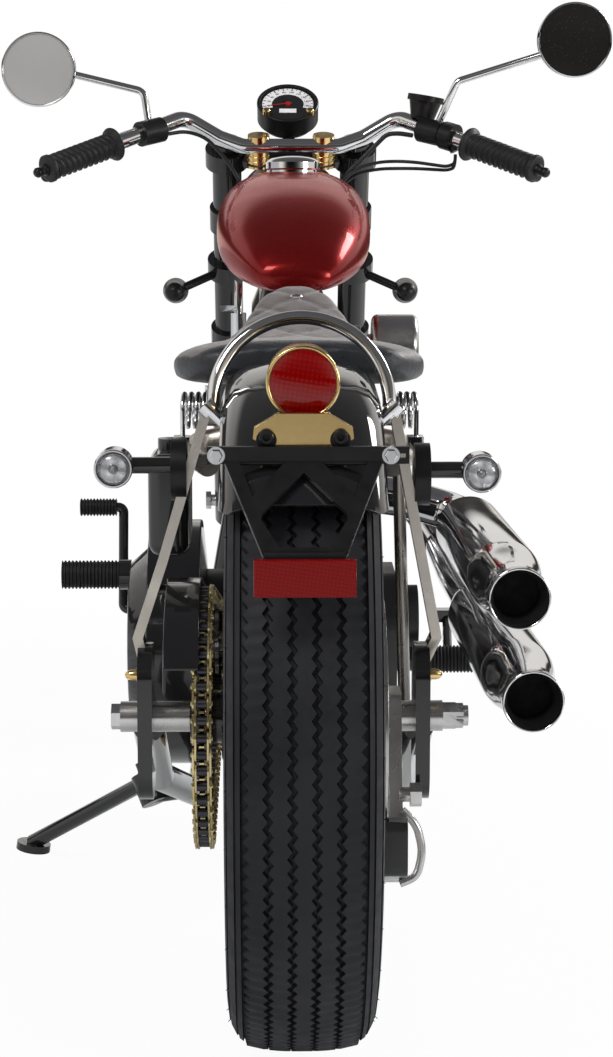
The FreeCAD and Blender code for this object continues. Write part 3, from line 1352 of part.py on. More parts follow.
def headlamp_lens():
    y, z = HEADLAMP_Y, HEADLAMP_Z
    return rod((0, y + 2 + SEAT_GAP, z), (0, y + 10, z), 76 - SEAT_GAP)


def front_fender():
    """A short shell over the front tyre with its stays."""
    r = FRONT_TYRE_RADIUS + 16
    outer = r + 3
    h = 58
    profile = [(-h, r - 34), (-h + 12, outer - 8), (-h + 32, outer), (h - 32, outer), (h - 12, outer - 8),
               (h, r - 34), (h - 3, r - 34), (h - 13.5, r - 7), (h - 33, r), (-h + 33, r), (-h + 13.5, r - 7),
               (-h + 3, r - 34)]
    shell = turned(profile, FRONT_AXLE_Y, FRONT_TYRE_RADIUS, FRONT_FENDER_AHEAD + FRONT_FENDER_BEHIND,
                   -FRONT_FENDER_AHEAD)
    tabs = []
    for side in (-1, 1):
        y, z = steer(FORK_AXLE + r - 30, 0, FORK_OFFSET)[1:]
        tabs.append(rod((side * (h - 3), y, z), (side * (FORK_X - FORK_LEG_RADIUS - SEAT_GAP), y, z), 7))
    return fused([shell] + tabs)


def front_indicators():
    """Round lamps on stalks from the lower clamp."""
    lamps = []
    for side in (-1, 1):
        x = side * 166
        body = Part.makeCone(14, 18.5, 44, at(*at_head(x, 70, -154)), at(0, 1, 0))
        stalk = rod(at_head(side * FORK_X, 132, -122), at_head(x, 90, -154), 6)
        boss = rod(steer(LOWER_CLAMP - 20, side * FORK_X, FORK_OFFSET), steer(LOWER_CLAMP + 60, side * FORK_X, FORK_OFFSET),
                   CLAMP_HALF + SEAT_GAP)
        lamps.append(body.fuse(stalk.cut(boss)))
    return lamps


def stand_bracket():
    """The lug on the left frame tube with the stand's pin."""
    pivot = at(*STAND_PIVOT)
    axis = stand_axis()
    below = pivot - axis * (STAND_LUG / 2 + HUB_GAP)
    seat = Part.makeCylinder(16, 17, below, axis * -1)
    pin = Part.makeCylinder(STAND_PIN, STAND_LUG + 14, below, axis)
    arm = rod(tuple(below - axis * 9), (-CRADLE_X - 14, STAND_PIVOT[1], 146), 8)
    return fused([seat, pin, arm])


def side_stand():
    """The stand's leg, foot and pivot lug, leaning out and forward as it parks."""
    pivot = at(*STAND_PIVOT)
    foot = at(*stand_foot())
    axis = stand_axis()
    lug = Part.makeCylinder(16, STAND_LUG, pivot - axis * (STAND_LUG / 2), axis)
    bore = Part.makeCylinder(STAND_PIN + AXLE_GAP, STAND_LUG + 60, pivot - axis * (STAND_LUG / 2 + 30), axis)
    ankle = foot + at(0, 0, 9)
    start = pivot + (ankle - pivot) * 0.06
    leg = rod(tuple(start), tuple(ankle), STAND_RADIUS)
    pad = Part.makeCylinder(20, 9, foot, ground_up())
    return fused([lug, leg, pad]).cut(bore)


def ground_up():
    """The floor's upward direction, seen from the upright machine."""
    lean = math.radians(LEAN)
    return at(math.sin(lean), 0, math.cos(lean))


def stand_foot():
    """The foot's place on the floor of the leaning machine."""
    x, y = STAND_FOOT
    lean = math.radians(LEAN)
    z = (floor_level() - x * math.sin(lean)) / math.cos(lean)
    return x, y, z


def floor_level():
    """The height of the rear tyre's lowest edge in the leaning machine, against the origin."""
    lean = math.radians(LEAN)
    flat = math.cos(math.pi / TYRE_STEPS)
    return min(x * math.sin(lean) + (REAR_TYRE_RADIUS - r * flat) * math.cos(lean) for x, r in rear_tyre_profile())


def stand_axis():
    """The stand's hinge axis: square to the leg when out and when folded back along the machine."""
    out = at(*stand_foot()) - at(*STAND_PIVOT)
    axis = out.cross(at(*STAND_BACK))
    axis.normalize()
    return axis


def foot_controls():
    """Pegs, the shift lever and the brake pedal."""
    y, z = CRANK_Y, CRANK_Z
    peg = rod((PRIMARY_DOME - SEAT_GAP, y - 140, z + 104), (-278, y - 140, z + 104), 15)
    boss = rod((PRIMARY_DOME - SEAT_GAP, y - 140, z + 104), (PRIMARY_DOME - 14, y - 140, z + 104), 18)
    shift = tube([(PRIMARY_RIM - SEAT_GAP, y - 10, z + 38), (-214, y - 10, z + 38), (-214, y + 20, z + 163),
                  (-230, y + 20, z + 163)], 7, 6)
    toe = rod((-222, y + 20, z + 163), (-268, y + 20, z + 163), 9)
    right = rod((COVER_RIGHT + SEAT_GAP, y - 62, z - 16), (226, y - 62, z - 16), 15)
    pedal = tube([(COVER_RIGHT + SEAT_GAP, y + 55, z - 34), (198, y + 55, z - 34), (204, y + 160, z - 4)], 14, 6)
    pad = box((184, 226), (y + 150, y + 172), (z - 10, z + 6))
    return [peg.fuse(boss), shift.fuse(toe), right, pedal.fuse(pad)]


NODES = {
    "rear_tyre": rear_tyre,
    "rear_wheel": rear_wheel,
    "rear_sprocket": rear_sprocket,
    "rear_disc": lambda: disc(DISC_X, 0, REAR_TYRE_RADIUS),
    "front_tyre": front_tyre,
    "front_wheel": front_wheel,
    "drive_chain": drive_chain,
    "front_sprocket": front_sprocket,
    "chain_guard": chain_guard,
    "frame_backbone": frame_backbone,
    "frame_cradle": frame_cradle,
    "rear_struts": rear_struts,
    "oil_tank": oil_tank,
    "rear_axle": rear_axle,
    "rear_caliper": rear_caliper,
    "crankcase": crankcase,
    "primary_cover": primary_cover,
    "front_cylinder": lambda: cylinder(1),
    "rear_cylinder": lambda: cylinder(-1),
    "rocker_covers": rocker_covers,
    "carburettor": carburettor,
    "air_cleaner": air_cleaner,
    "exhaust_pipes": exhaust_pipes,
    "mufflers": mufflers,
    "fuel_tank": fuel_tank,
    "fuel_tap": fuel_tap,
    "seat": seat,
    "seat_springs": seat_springs,
    "rear_fender": rear_fender,
    "grab_loop": grab_loop,
    "tail_lamp": tail_lamp,
    "tail_lamp_lens": tail_lamp_lens,
    "plate_bracket": plate_bracket,
    "rear_reflector": rear_reflector,
    "rear_indicators": rear_indicators,
    "side_reflectors": side_reflectors,
    "triple_clamps": triple_clamps,
    "fork_legs": fork_legs,
    "front_axle": front_axle,
    "handlebar": handlebar,
    "grips": grips,
    "risers": risers,
    "hand_controls": hand_controls,
    "control_cables": control_cables,
    "mirrors": mirrors,
    "speedometer": speedometer,
    "headlamp": headlamp,
    "headlamp_lens": headlamp_lens,
    "front_fender": front_fender,
    "front_indicators": front_indicators,
    "side_stand": side_stand,
    "foot_controls": foot_controls,
}


def leaned(shapes):
    """The shape or shapes of one node as a single shape, leaned to the left."""
    shapes = shapes if isinstance(shapes, list) else [shapes]
    whole = Part.makeCompound(shapes) if len(shapes) > 1 else shapes[0]
    whole.rotate(at(0, 0, 0), at(0, 1, 0), -LEAN)
    return whole


def main():
    os.makedirs("parts", exist_ok=True)
    built = {name: leaned(make()) for name, make in NODES.items()}
    bounds = FreeCAD.BoundBox()
    for shape in built.values():
        bounds.add(shape.BoundBox)
    shift = at(-bounds.Center.x, -bounds.Center.y, -bounds.ZMin)
    for name, shape in built.items():
        shape.translate(shift)
        shape.exportStep("parts/" + name + ".step")
    print("size", round(bounds.XLength, 1), round(bounds.YLength, 1), round(bounds.ZLength, 1))
    print("shift", tuple(shift))


if __name__ == "__main__":
    main()
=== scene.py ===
"""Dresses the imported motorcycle: the finish of every piece, its soft seat, treads, chain and lamps.

Places are given in the upright machine's own millimetres, X to the rider's right, Y forward and Z up,
with the origin on the ground under the rear axle. placed() leans them onto the side stand with the frame.
"""

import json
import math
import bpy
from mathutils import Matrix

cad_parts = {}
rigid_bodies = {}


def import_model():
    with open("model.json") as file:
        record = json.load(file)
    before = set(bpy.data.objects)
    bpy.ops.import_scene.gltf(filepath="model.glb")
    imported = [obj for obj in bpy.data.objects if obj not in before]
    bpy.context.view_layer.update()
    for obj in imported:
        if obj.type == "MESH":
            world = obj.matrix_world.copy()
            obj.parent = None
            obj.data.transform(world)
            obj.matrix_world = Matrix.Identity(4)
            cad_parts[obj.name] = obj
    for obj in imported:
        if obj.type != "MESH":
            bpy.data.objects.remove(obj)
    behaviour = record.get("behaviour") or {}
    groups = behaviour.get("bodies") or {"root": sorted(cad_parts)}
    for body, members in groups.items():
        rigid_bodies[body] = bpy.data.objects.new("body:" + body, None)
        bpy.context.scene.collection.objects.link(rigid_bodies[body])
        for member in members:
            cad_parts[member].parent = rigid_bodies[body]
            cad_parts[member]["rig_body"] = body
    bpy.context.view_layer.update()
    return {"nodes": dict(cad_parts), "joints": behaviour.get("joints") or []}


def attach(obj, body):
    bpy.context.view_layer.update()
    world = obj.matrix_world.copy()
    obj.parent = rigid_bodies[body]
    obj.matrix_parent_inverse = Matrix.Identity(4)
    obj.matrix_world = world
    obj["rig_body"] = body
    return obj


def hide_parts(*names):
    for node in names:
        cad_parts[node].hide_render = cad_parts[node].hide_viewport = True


bl_info = {
    "name": "Chopper Dresser",
    "version": (1, 0, 0),
    "blender": (4, 5, 0),
    "location": "View3D > Sidebar > Chopper",
    "description": "Gives a parked V-twin chopper its finishes, treads, quilted seat, chain and lamps",
    "category": "Object",
}

import bmesh
import bpy
import numpy as np
from bpy.props import FloatProperty, FloatVectorProperty, IntProperty, PointerProperty
from mathutils import Matrix, Vector

MM = 0.001

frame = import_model()
JOINTS = {joint["name"]: joint for joint in frame["joints"]}

# The lean and the axles' places, read from the wheels' joints
WHEEL_AXIS = JOINTS["rear_wheel_spin"]["axis"]
LEAN = math.atan2(WHEEL_AXIS[2], WHEEL_AXIS[0])
REAR_RADIUS = 320.0
FRONT_RADIUS = 330.0
AXLE = np.array(JOINTS["rear_wheel_spin"]["pos_m"])
SHIFT = AXLE - np.array([-math.sin(LEAN), 0, math.cos(LEAN)]) * REAR_RADIUS * MM
FRONT_AXLE_Y = float(JOINTS["front_wheel_spin"]["pos_m"][1] - AXLE[1]) / MM

# Ways along the upright machine
RIGHT = (1, 0, 0)
AHEAD = (0, 1, 0)
BACK = (0, -1, 0)


def placed(points):
    """Upright millimetres to the leaning frame in metres: a turn about Y by the lean, then a shift."""
    points = np.asarray(points, float) * MM
    x = math.cos(LEAN) * points[..., 0] - math.sin(LEAN) * points[..., 2]
    z = math.sin(LEAN) * points[..., 0] + math.cos(LEAN) * points[..., 2]
    return np.stack([x, points[..., 1], z], -1) + SHIFT


def upright(points):
    """Rows of points from the leaning frame in metres back to upright millimetres."""
    away = (points - SHIFT) / MM
    x = math.cos(LEAN) * away[:, 0] + math.sin(LEAN) * away[:, 2]
    z = -math.sin(LEAN) * away[:, 0] + math.cos(LEAN) * away[:, 2]
    return np.stack([x, away[:, 1], z], -1)


def rows_of(items, what):
    """The places of a mesh's vertices, or the centres of its faces, as rows of three."""
    flat = np.empty(len(items) * 3)
    items.foreach_get(what, flat)
    return flat.reshape(-1, 3)


# Shapes


class Shape:
    """Collects surfaces in upright millimetres and makes one piece of them."""

    def __init__(self):
        self.points = []
        self.faces = []
        self.count = 0

    def add(self, points, faces):
        """Takes points in an array of any shape, and faces that count from their first one."""
        points = np.asarray(points, float).reshape(-1, 3)
        self.faces.extend((np.asarray(face) + self.count).tolist() for face in faces)
        self.points.append(points)
        self.count += len(points)

    def grid(self, points, round_u=False, round_v=False, caps=False):
        """A sheet of quads over an (m, n, 3) grid, closed along either way, with flat ends if asked."""
        m, n = points.shape[:2]
        index = np.arange(m * n).reshape(m, n)
        rows = np.arange(m if round_u else m - 1)
        cols = np.arange(n if round_v else n - 1)
        near, far = index[rows], index[(rows + 1) % m]
        beside = (cols + 1) % n
        quads = np.stack([near[:, cols], far[:, cols], far[:, beside], near[:, beside]], -1).reshape(-1, 4)
        self.add(points, [*quads, index[0], index[-1][::-1]] if caps else quads)

    def turn(self, profile, start, axis, steps, ring=False):
        """A profile turned about an axis: open at its ends, or closed to a ring."""
        self.grid(lathe(profile, start, axis, steps), ring, True)

    def piece(self, name, body, keys, smooth):
        """The finished object: doubles merged, faces outwards, round faces smooth, riding on its body."""
        mesh = bpy.data.meshes.new(name)
        mesh.from_pydata(placed(np.concatenate(self.points)).tolist(), [], self.faces)
        work = bmesh.new()
        work.from_mesh(mesh)
        bmesh.ops.remove_doubles(work, verts=work.verts, dist=1e-6)
        bmesh.ops.recalc_face_normals(work, faces=work.faces)
        work.to_mesh(mesh)
        work.free()
        return settle(mesh, name, body, keys, smooth)


def coat(mesh, keys):
    """Puts one finish, or several, on a mesh."""
    mesh.materials.clear()
    for key in [keys] if isinstance(keys, str) else keys:
        mesh.materials.append(finishes()[key])


def settle(mesh, name, body, keys, smooth, bevel=0.0):
    """Links a mesh as a piece, with its edges softened and its finish on it."""
    mesh.shade_smooth()
    mesh.set_sharp_from_angle(angle=math.radians(smooth))
    coat(mesh, keys)
    thing = bpy.data.objects.new(name, mesh)
    bpy.context.scene.collection.objects.link(thing)
    if bevel:
        edge = thing.modifiers.new("Softened edges", "BEVEL")
        edge.width = bevel * MM
        edge.segments = 2
        edge.limit_method = "ANGLE"
        edge.angle_limit = math.radians(smooth)
        edge.harden_normals = True
    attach(thing, body)
    return thing


def across(axis):
    """An axis as a unit vector, and two more that are square to it and to each other."""
    axis = np.asarray(axis, float)
    axis = axis / np.linalg.norm(axis)
    other = np.array([0, 0, 1.0]) if abs(axis[2]) < 0.8 else np.array([0, 1.0, 0])
    first = np.cross(other, axis)
    first /= np.linalg.norm(first)
    return axis, first, np.cross(axis, first)


def lathe(profile, start, axis, steps):
    """A profile of (along, radius) points turned about an axis from start: a ring of points for each."""
    axis, first, second = across(axis)
    profile = np.asarray(profile, float)
    angle = 2 * np.pi * np.arange(steps) / steps
    ring = np.cos(angle)[:, None] * first + np.sin(angle)[:, None] * second
    return np.asarray(start, float) + profile[:, 0, None, None] * axis + profile[:, 1, None, None] * ring


def smooth_line(points, samples):
    """A Catmull-Rom curve through the points, sampled evenly between each pair."""
    p = np.asarray(points, float)
    p = np.concatenate([2 * p[:1] - p[1:2], p, 2 * p[-1:] - p[-2:-1]])
    t = np.linspace(0, 1, samples, endpoint=False)[:, None]
    a, b, c, d = (p[i:len(p) - 3 + i, None] for i in range(4))
    bend = (2 * a - 5 * b + 4 * c - d) * t ** 2 + (3 * b - a - 3 * c + d) * t ** 3
    curve = 0.5 * (2 * b + (c - a) * t + bend)
    return np.concatenate([curve.reshape(-1, p.shape[1]), p[-2:-1]])


def slab(outline, thick, origin, right, up):
    """A flat plate: a 2-D outline on the plane of right and up, thickened along their cross product."""
    outline = np.asarray(outline, float)
    face = origin + outline[:, :1] * right + outline[:, 1:] * up
    normal = np.cross(right, up)
    return np.stack([face - normal * thick / 2, face + normal * thick / 2])


def turned(name, body, finish, smooth, profile, places, axis, steps, ring=False):
    """A piece made of one profile turned about an axis at each of the places."""
    shape = Shape()
    for place in places:
        shape.turn(profile, place, axis, steps, ring)
    return shape.piece(name, body, finish, smooth)


def bolt(shape, place, axis, across_flats, high, socket=False):
    """A screw's head: a chamfered hexagon on a washer, or a round head with a socket."""
    r = across_flats / math.sqrt(3)
    if socket:
        head = [(0, 0), (0, r), (high * 0.8, r), (high, r * 0.85), (high, r * 0.5), (high * 0.4, r * 0.48)]
        shape.turn([*head, (high * 0.4, 0)], place, axis, 18)
        return
    shape.turn([(0, 0), (0, r * 1.35), (high * 0.18, r * 1.35), (high * 0.18, r * 0.8)], place, axis, 20)
    shape.turn([(high * 0.15, r * 0.8), (high * 0.15, r), (high * 0.85, r), (high, r * 0.86), (high, 0)],
               place, axis, 6)


# Finishes


class Nodes:
    """Builds a node tree from nodes whose sockets get values or other nodes' outputs."""

    def __init__(self, tree):
        self.tree = tree

    def put(self, socket, value):
        """Joins a socket to an output, or sets it to a value."""
        if isinstance(value, bpy.types.NodeSocket):
            self.tree.links.new(value, socket)
        else:
            socket.default_value = value

    def node(self, kind, sockets=(), **settings):
        made = self.tree.nodes.new(kind)
        for key, value in settings.items():
            setattr(made, key, value)
        for key, value in dict(sockets).items():
            self.put(made.inputs[key], value)
        return made

    def spread(self, value, low, high, start=0.3, end=0.7, **settings):
        """Carries a value from the range of start and end to that of low and high, held inside it."""
        sockets = {"Value": value, "From Min": start, "From Max": end, "To Min": low, "To Max": high}
        return self.node("ShaderNodeMapRange", sockets, **settings).outputs["Result"]


class Finish(Nodes):
    """One material's nodes, with short names for the ones that are used often."""

    def __init__(self, name, **sockets):
        self.material = bpy.data.materials.new(name)
        self.material.use_nodes = True
        super().__init__(self.material.node_tree)
        self.shader = self.tree.nodes["Principled BSDF"]
        self.place = self.node("ShaderNodeTexCoord").outputs["Object"]
        self.set(**sockets)

    def set(self, **sockets):
        """Sets or joins the shader's own sockets, with _ for each space in their names."""
        for key, value in sockets.items():
            self.put(self.shader.inputs[key.replace("_", " ")], value)

    def noise(self, scale, detail=4.0, rough=0.5, stretch=None):
        """Noise on the object's own coordinates, stretched if asked."""
        place = self.place
        if stretch:
            place = self.node("ShaderNodeMapping", {"Scale": stretch, "Vector": place}).outputs["Vector"]
        sockets = {"Scale": scale, "Detail": detail, "Roughness": rough, "Vector": place}
        return self.node("ShaderNodeTexNoise", sockets).outputs["Fac"]

    def cells(self, scale, feature="F1", output="Distance"):
        sockets = {"Scale": scale, "Vector": self.place}
        return self.node("ShaderNodeTexVoronoi", sockets, feature=feature).outputs[output]

    def mixed(self, factor, first, second):
        """A colour between two, by a factor."""
        sockets = {"Factor": factor, "A": (*first, 1), "B": (*second, 1)}
        return self.node("ShaderNodeMix", sockets, data_type="RGBA").outputs["Result"]

    def stain(self, patches, first, second, low=0, high=1, start=0.3, end=0.7):
        """Colours the surface from the first colour to the second, by patches of noise."""
        share = self.spread(self.noise(*patches), low, high, start, end)
        self.set(Base_Color=self.mixed(share, first, second))

    def polish(self, patches, rough, least, most):
        """Varies a roughness between two multiples of it, by patches of noise."""
        self.set(Roughness=self.spread(self.noise(*patches), rough * least, rough * most))

    def bump(self, height, strength, distance, below=None):
        """Raises the surface by a height in metres, on top of another bump if one is given."""
        sockets = {"Strength": strength, "Distance": distance, "Height": height}
        if below:
            sockets["Normal"] = below
        normal = self.node("ShaderNodeBump", sockets).outputs["Normal"]
        self.set(Normal=normal)
        return normal


def tinted(colour, factor, lift=0.0):
    """A colour multiplied and lifted, with no part over 1."""
    return tuple(min(1, part * factor + lift) for part in colour)


def gloss_paint(name, colour, rough=0.12):
    """Stoved enamel: deep colour under a clear coat, with faint orange peel and a film of dust."""
    made = Finish(name, Coat_Weight=1.0, Coat_Roughness=0.04, Specular_IOR_Level=0.1)
    made.stain((6.0, 6.0, 0.62), colour, (0.16, 0.15, 0.14), 0.0, 0.05)
    made.polish((38.0, 5.0, 0.6), rough, 0.75, 1.7)
    made.bump(made.noise(420.0, 1.0), 0.06, 0.0002)
    return made.material


def candy_paint(name, colour):
    """Candy red: a metal ground with fine flake under tinted clear coats."""
    made = Finish(name, Metallic=0.62, Coat_Weight=0.34, Coat_Roughness=0.03, Coat_IOR=1.45,
                  Specular_Tint=(1.0, 0.16, 0.14, 1.0))
    flake = made.node("ShaderNodeSeparateColor", {"Color": made.cells(2600.0, output="Color")}).outputs
    share = made.spread(flake["Red"], 0.0, 1.0, 0.2, 0.9)
    made.set(Base_Color=made.mixed(share, colour, tinted(colour, 1.5, 0.01)))
    made.set(Roughness=made.spread(made.noise(24.0, 4.0), 0.24, 0.33))
    made.bump(flake["Green"], 0.05, 0.0001)
    return made.material


def chrome_plate(name, colour=(0.78, 0.78, 0.79), rough=0.045):
    """Plated chrome: mirror bright, with wiped streaks and fine swirls in the polish."""
    made = Finish(name, Metallic=1.0)
    made.set(Base_Color=made.mixed(made.noise(9.0, 5.0, 0.6), colour, tinted(colour, 0.88)))
    made.polish((14.0, 7.0, 0.65), rough, 0.6, 2.6)
    made.bump(made.noise(900.0, 1.0), 0.02, 0.0001)
    return made.material


def turned_metal(name, colour, rough=0.26, marks=1400.0, stretch=(1, 0.06, 0.06)):
    """Machined metal: fine turning marks, and stains from handling."""
    made = Finish(name, Metallic=1.0)
    made.stain((16.0, 8.0, 0.6), colour, tinted(colour, 0.62), 0.0, 0.5)
    made.polish((30.0, 5.0), rough, 0.8, 1.35)
    made.bump(made.noise(marks, 2.0, 0.5, stretch), 0.16, 0.0002)
    return made.material


def cast_finish(name, colour, metallic, rough):
    """A sand-cast surface, painted or bare: a pebbled skin with darker hollows."""
    made = Finish(name, Metallic=metallic)
    made.stain((40.0, 8.0, 0.65), tinted(colour, 0.7), colour)
    made.polish((22.0, 4.0), rough, 0.8, 1.25)
    made.bump(made.noise(1500.0, 2.0, 0.6), 0.28, 0.0004)
    return made.material


def tread_rubber(name, colour, rough):
    """Tyre rubber: grey bloom, fine mould grain and scuffs."""
    made = Finish(name, Specular_IOR_Level=0.2)
    made.stain((15.0, 10.0, 0.7), colour, tinted(colour, 1.7, 0.003), 0, 1, 0.35, 0.75)
    made.polish((60.0, 6.0), rough, 0.85, 1.2)
    made.bump(made.noise(2200.0, 3.0, 0.6), 0.22, 0.0003)
    return made.material


def moulded(name, colour, rough, grain=2600.0):
    """Moulded rubber or plastic with a fine texture."""
    made = Finish(name, Specular_IOR_Level=0.3)
    made.stain((30.0, 6.0, 0.6), colour, tinted(colour, 1.5, 0.002))
    made.polish((80.0, 4.0), rough, 0.8, 1.25)
    made.bump(made.noise(grain, 2.0), 0.14, 0.0003)
    return made.material


def hide(name, colour, worn, rough, nap=0.0):
    """Waxed leather: a net of pores and creases, paler where it is rubbed."""
    made = Finish(name, Specular_IOR_Level=0.45, Sheen_Weight=nap, Sheen_Roughness=0.35)
    pores = made.cells(520.0, "DISTANCE_TO_EDGE")
    crease = made.noise(70.0, 9.0, 0.72)
    made.stain((11.0, 9.0, 0.7), colour, worn, 0, 1, 0.35, 0.7)
    made.set(Roughness=made.spread(crease, rough * 0.8, rough * 1.35))
    fine = made.bump(made.spread(pores, 0, 1, 0.0, 0.16), 0.35, 0.0004)
    made.bump(crease, 0.22, 0.001, fine)
    return made.material


def lens_plastic(name, colour, clear, prisms, rough, shine=0.15):
    """A moulded lens: tinted plastic over a grid of small prisms that catch the light by turns."""
    made = Finish(name, Coat_Weight=shine, Coat_Roughness=0.03, Transmission_Weight=clear, IOR=1.46,
                  Specular_IOR_Level=shine)
    waves = []
    for stretch in ((1, 0, 0), (0, 0, 1)):
        mapping = made.node("ShaderNodeMapping", {"Scale": stretch, "Vector": made.place})
        wave = made.node("ShaderNodeTexWave", {"Scale": prisms, "Vector": mapping.outputs["Vector"]},
                         bands_direction="DIAGONAL", wave_profile="TRI")
        waves.append(wave.outputs["Fac"])
    prism = made.node("ShaderNodeMath", {0: waves[0], 1: waves[1]}, operation="MULTIPLY").outputs[0]
    made.set(Base_Color=made.mixed(prism, tinted(colour, 0.75), tinted(colour, 1.3)))
    made.polish((50.0, 3.0), rough, 0.7, 1.8)
    made.bump(prism, 0.15, 0.0005)
    return made.material


def silvered_glass(name, colour, rough, metallic):
    """Mirror glass with dust and water spots on it."""
    made = Finish(name, Metallic=metallic)
    spots = made.spread(made.cells(330.0), 1, 0, 0.05, 0.12)
    made.set(Base_Color=made.mixed(spots, colour, tinted(colour, 1, 0.2)))
    made.polish((9.0, 3.0), rough, 1, 2)
    return made.material


def colour_property(name, description, default):
    return FloatVectorProperty(name=name, description=description, subtype="COLOR", size=3, min=0, max=1,
                               default=default)


class FinishColours(bpy.types.PropertyGroup):
    """The colours that a user would change."""
    tank_colour: colour_property("Tank colour", "Candy paint of the tank", (0.140, 0.0016, 0.0016))
    paint_colour: colour_property("Frame colour", "Enamel of the frame and fenders", (0.009, 0.009, 0.010))
    # Brown leather for the seat's top, made paler than the black skirt partly as painted sheen, standing in
    # for the sheen it shows at grazing angles
    leather_and_sheen_colour: colour_property("Leather colour", "Leather of the seat's top", (0.078, 0.061, 0.054))
    brass_colour: colour_property("Brass colour", "Brass of the risers and the lamp's ring",
                                  (0.82, 0.58, 0.25))


class TyreSizes(bpy.types.PropertyGroup):
    """The tread's pattern."""
    groove_depth: FloatProperty(name="Groove depth", description="Depth of the grooves in millimetres",
                                min=1, max=8, default=4.5)
    rear_waves: IntProperty(name="Rear waves", description="Zigzags round the rear tyre",
                            min=40, max=240, default=150)
    front_waves: IntProperty(name="Front waves", description="Zigzags round the front tyre",
                             min=40, max=240, default=150)


class SeatSizes(bpy.types.PropertyGroup):
    """The seat's padding."""
    quilt_pitch: FloatProperty(name="Quilt pitch", description="Distance between seams in millimetres",
                               min=20, max=120, default=62)
    quilt_depth: FloatProperty(name="Quilt depth", description="Depth of the seams in millimetres",
                               min=0.5, max=10, default=4.5)


class StageLook(bpy.types.PropertyGroup):
    """The studio."""
    backdrop: FloatProperty(name="Backdrop", description="Brightness of the backdrop, where 1 is white",
                            min=0, max=1, default=1.0)
    daylight: FloatProperty(name="Fill", description="Strength of the light from all round",
                            min=0, max=3, default=0.62)


FINISHES = {}


def finishes():
    """All the materials, made once from the user's colours: a recipe and its own sizes for each name."""
    if FINISHES:
        return FINISHES
    colours = bpy.context.scene.chopper_colours
    paint, brass = tuple(colours.paint_colour), tuple(colours.brass_colour)
    leather = tuple(colours.leather_and_sheen_colour)
    recipes = {
        "frame_enamel": (gloss_paint, paint),
        "fender_enamel": (gloss_paint, paint, 0.06),
        "engine_enamel": (cast_finish, (0.022, 0.022, 0.023), 0.0, 0.38),
        "candy_red": (candy_paint, tuple(colours.tank_colour)),
        "chrome": (chrome_plate,),
        "strut_alloy": (turned_metal, (0.66, 0.61, 0.54), 0.30, 700.0, (1, 1, 0.05)),
        "dark_chrome": (chrome_plate, (0.30, 0.30, 0.31), 0.07),
        "brushed_steel": (turned_metal, (0.62, 0.61, 0.60)),
        "zinc_plate": (turned_metal, (0.66, 0.66, 0.64), 0.3, 900.0, (1, 1, 1)),
        "blued_steel": (turned_metal, (0.075, 0.075, 0.085), 0.3),
        "cast_alloy": (cast_finish, (0.42, 0.42, 0.43), 1.0, 0.34),
        "fin_alloy": (cast_finish, (0.10, 0.10, 0.105), 0.6, 0.42),
        "brass": (turned_metal, brass, 0.22, 1100.0, (1, 1, 0.1)),
        "bright_brass": (chrome_plate, brass, 0.12),
        "chain_gold": (turned_metal, (0.70, 0.58, 0.30), 0.24, 1200.0, (1, 1, 1)),
        "tread_rubber": (tread_rubber, (0.0095, 0.0098, 0.0115), 0.58),
        "grip_rubber": (moulded, (0.011, 0.011, 0.012), 0.5),
        "black_plastic": (moulded, (0.005, 0.005, 0.005), 0.34),
        "hose_rubber": (moulded, (0.012, 0.012, 0.012), 0.36, 1800.0),
        # The seat's top: brown leather whose paler colour is partly painted sheen
        "top_leather": (hide, leather, tinted(leather, 1.6, 0.01), 0.42, 0.5),
        "skirt_leather": (hide, (0.012, 0.013, 0.016), (0.03, 0.032, 0.038), 0.3),
        "red_lens": (lens_plastic, (0.20, 0.0010, 0.0010), 0.0, 150.0, 0.08, 0.3),
        "red_reflector": (lens_plastic, (0.17, 0.0012, 0.0008), 0.0, 190.0, 0.12),
        "clear_lens": (lens_plastic, (0.85, 0.85, 0.86), 0.9, 60.0, 0.05, 0.5),
        "mirror_glass": (silvered_glass, (0.52, 0.51, 0.49), 0.12, 0.3),
        "tinted_mirror": (silvered_glass, (0.018, 0.017, 0.016), 0.05, 0.2),
        "dial_white": (moulded, (0.62, 0.60, 0.60), 0.4),
        "dial_black": (moulded, (0.012, 0.012, 0.013), 0.3),
        "soot": (moulded, (0.006, 0.006, 0.006), 0.85),
        "dial_red": (moulded, (0.30, 0.010, 0.008), 0.35),
    }
    FINISHES.update({name: recipe(name, *sizes) for name, (recipe, *sizes) in recipes.items()})
    return FINISHES


SHARP_ANGLE = 33.0
FLAT_ANGLE = 0.4
MERGE_DISTANCE = 2e-6


def refined(node, finish, bevel, pick=None, second=None):
    """A CAD piece with its triangles joined to whole faces, smooth where round and soft at its edges.

    pick takes the faces' centres in upright millimetres and says which of them get the second finish.
    """
    source = frame["nodes"][node]
    work = bmesh.new()
    work.from_mesh(source.data)
    bmesh.ops.remove_doubles(work, verts=work.verts, dist=MERGE_DISTANCE)
    bmesh.ops.dissolve_limit(work, angle_limit=math.radians(FLAT_ANGLE), verts=work.verts, edges=work.edges)
    mesh = bpy.data.meshes.new(node + "_finish")
    work.to_mesh(mesh)
    work.free()
    keys = (finish, second) if second else finish
    thing = settle(mesh, node + "_finish", source["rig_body"], keys, SHARP_ANGLE, bevel)
    if pick:
        chosen = pick(upright(rows_of(mesh.polygons, "center"))).astype(np.int32)
        mesh.polygons.foreach_set("material_index", chosen)
    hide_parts(node)


# Wheels

TYRE_INSET = 0.4
ZIGZAG_SWING = 2.3
GROOVE_TOP = 2.7
GROOVE_FLOOR = 1.9
CROWN = 0.085
CROWN_POWER = 2.6
HAIRS = 64
SPOKE_ROOT = 43.0
CALIPER_FACE_X = 83


def zigzag(turns):
    """A wave of straight runs between -1 and 1, by its phase in turns."""
    return 2 * np.abs(2 * (turns % 1) - 1) - 1


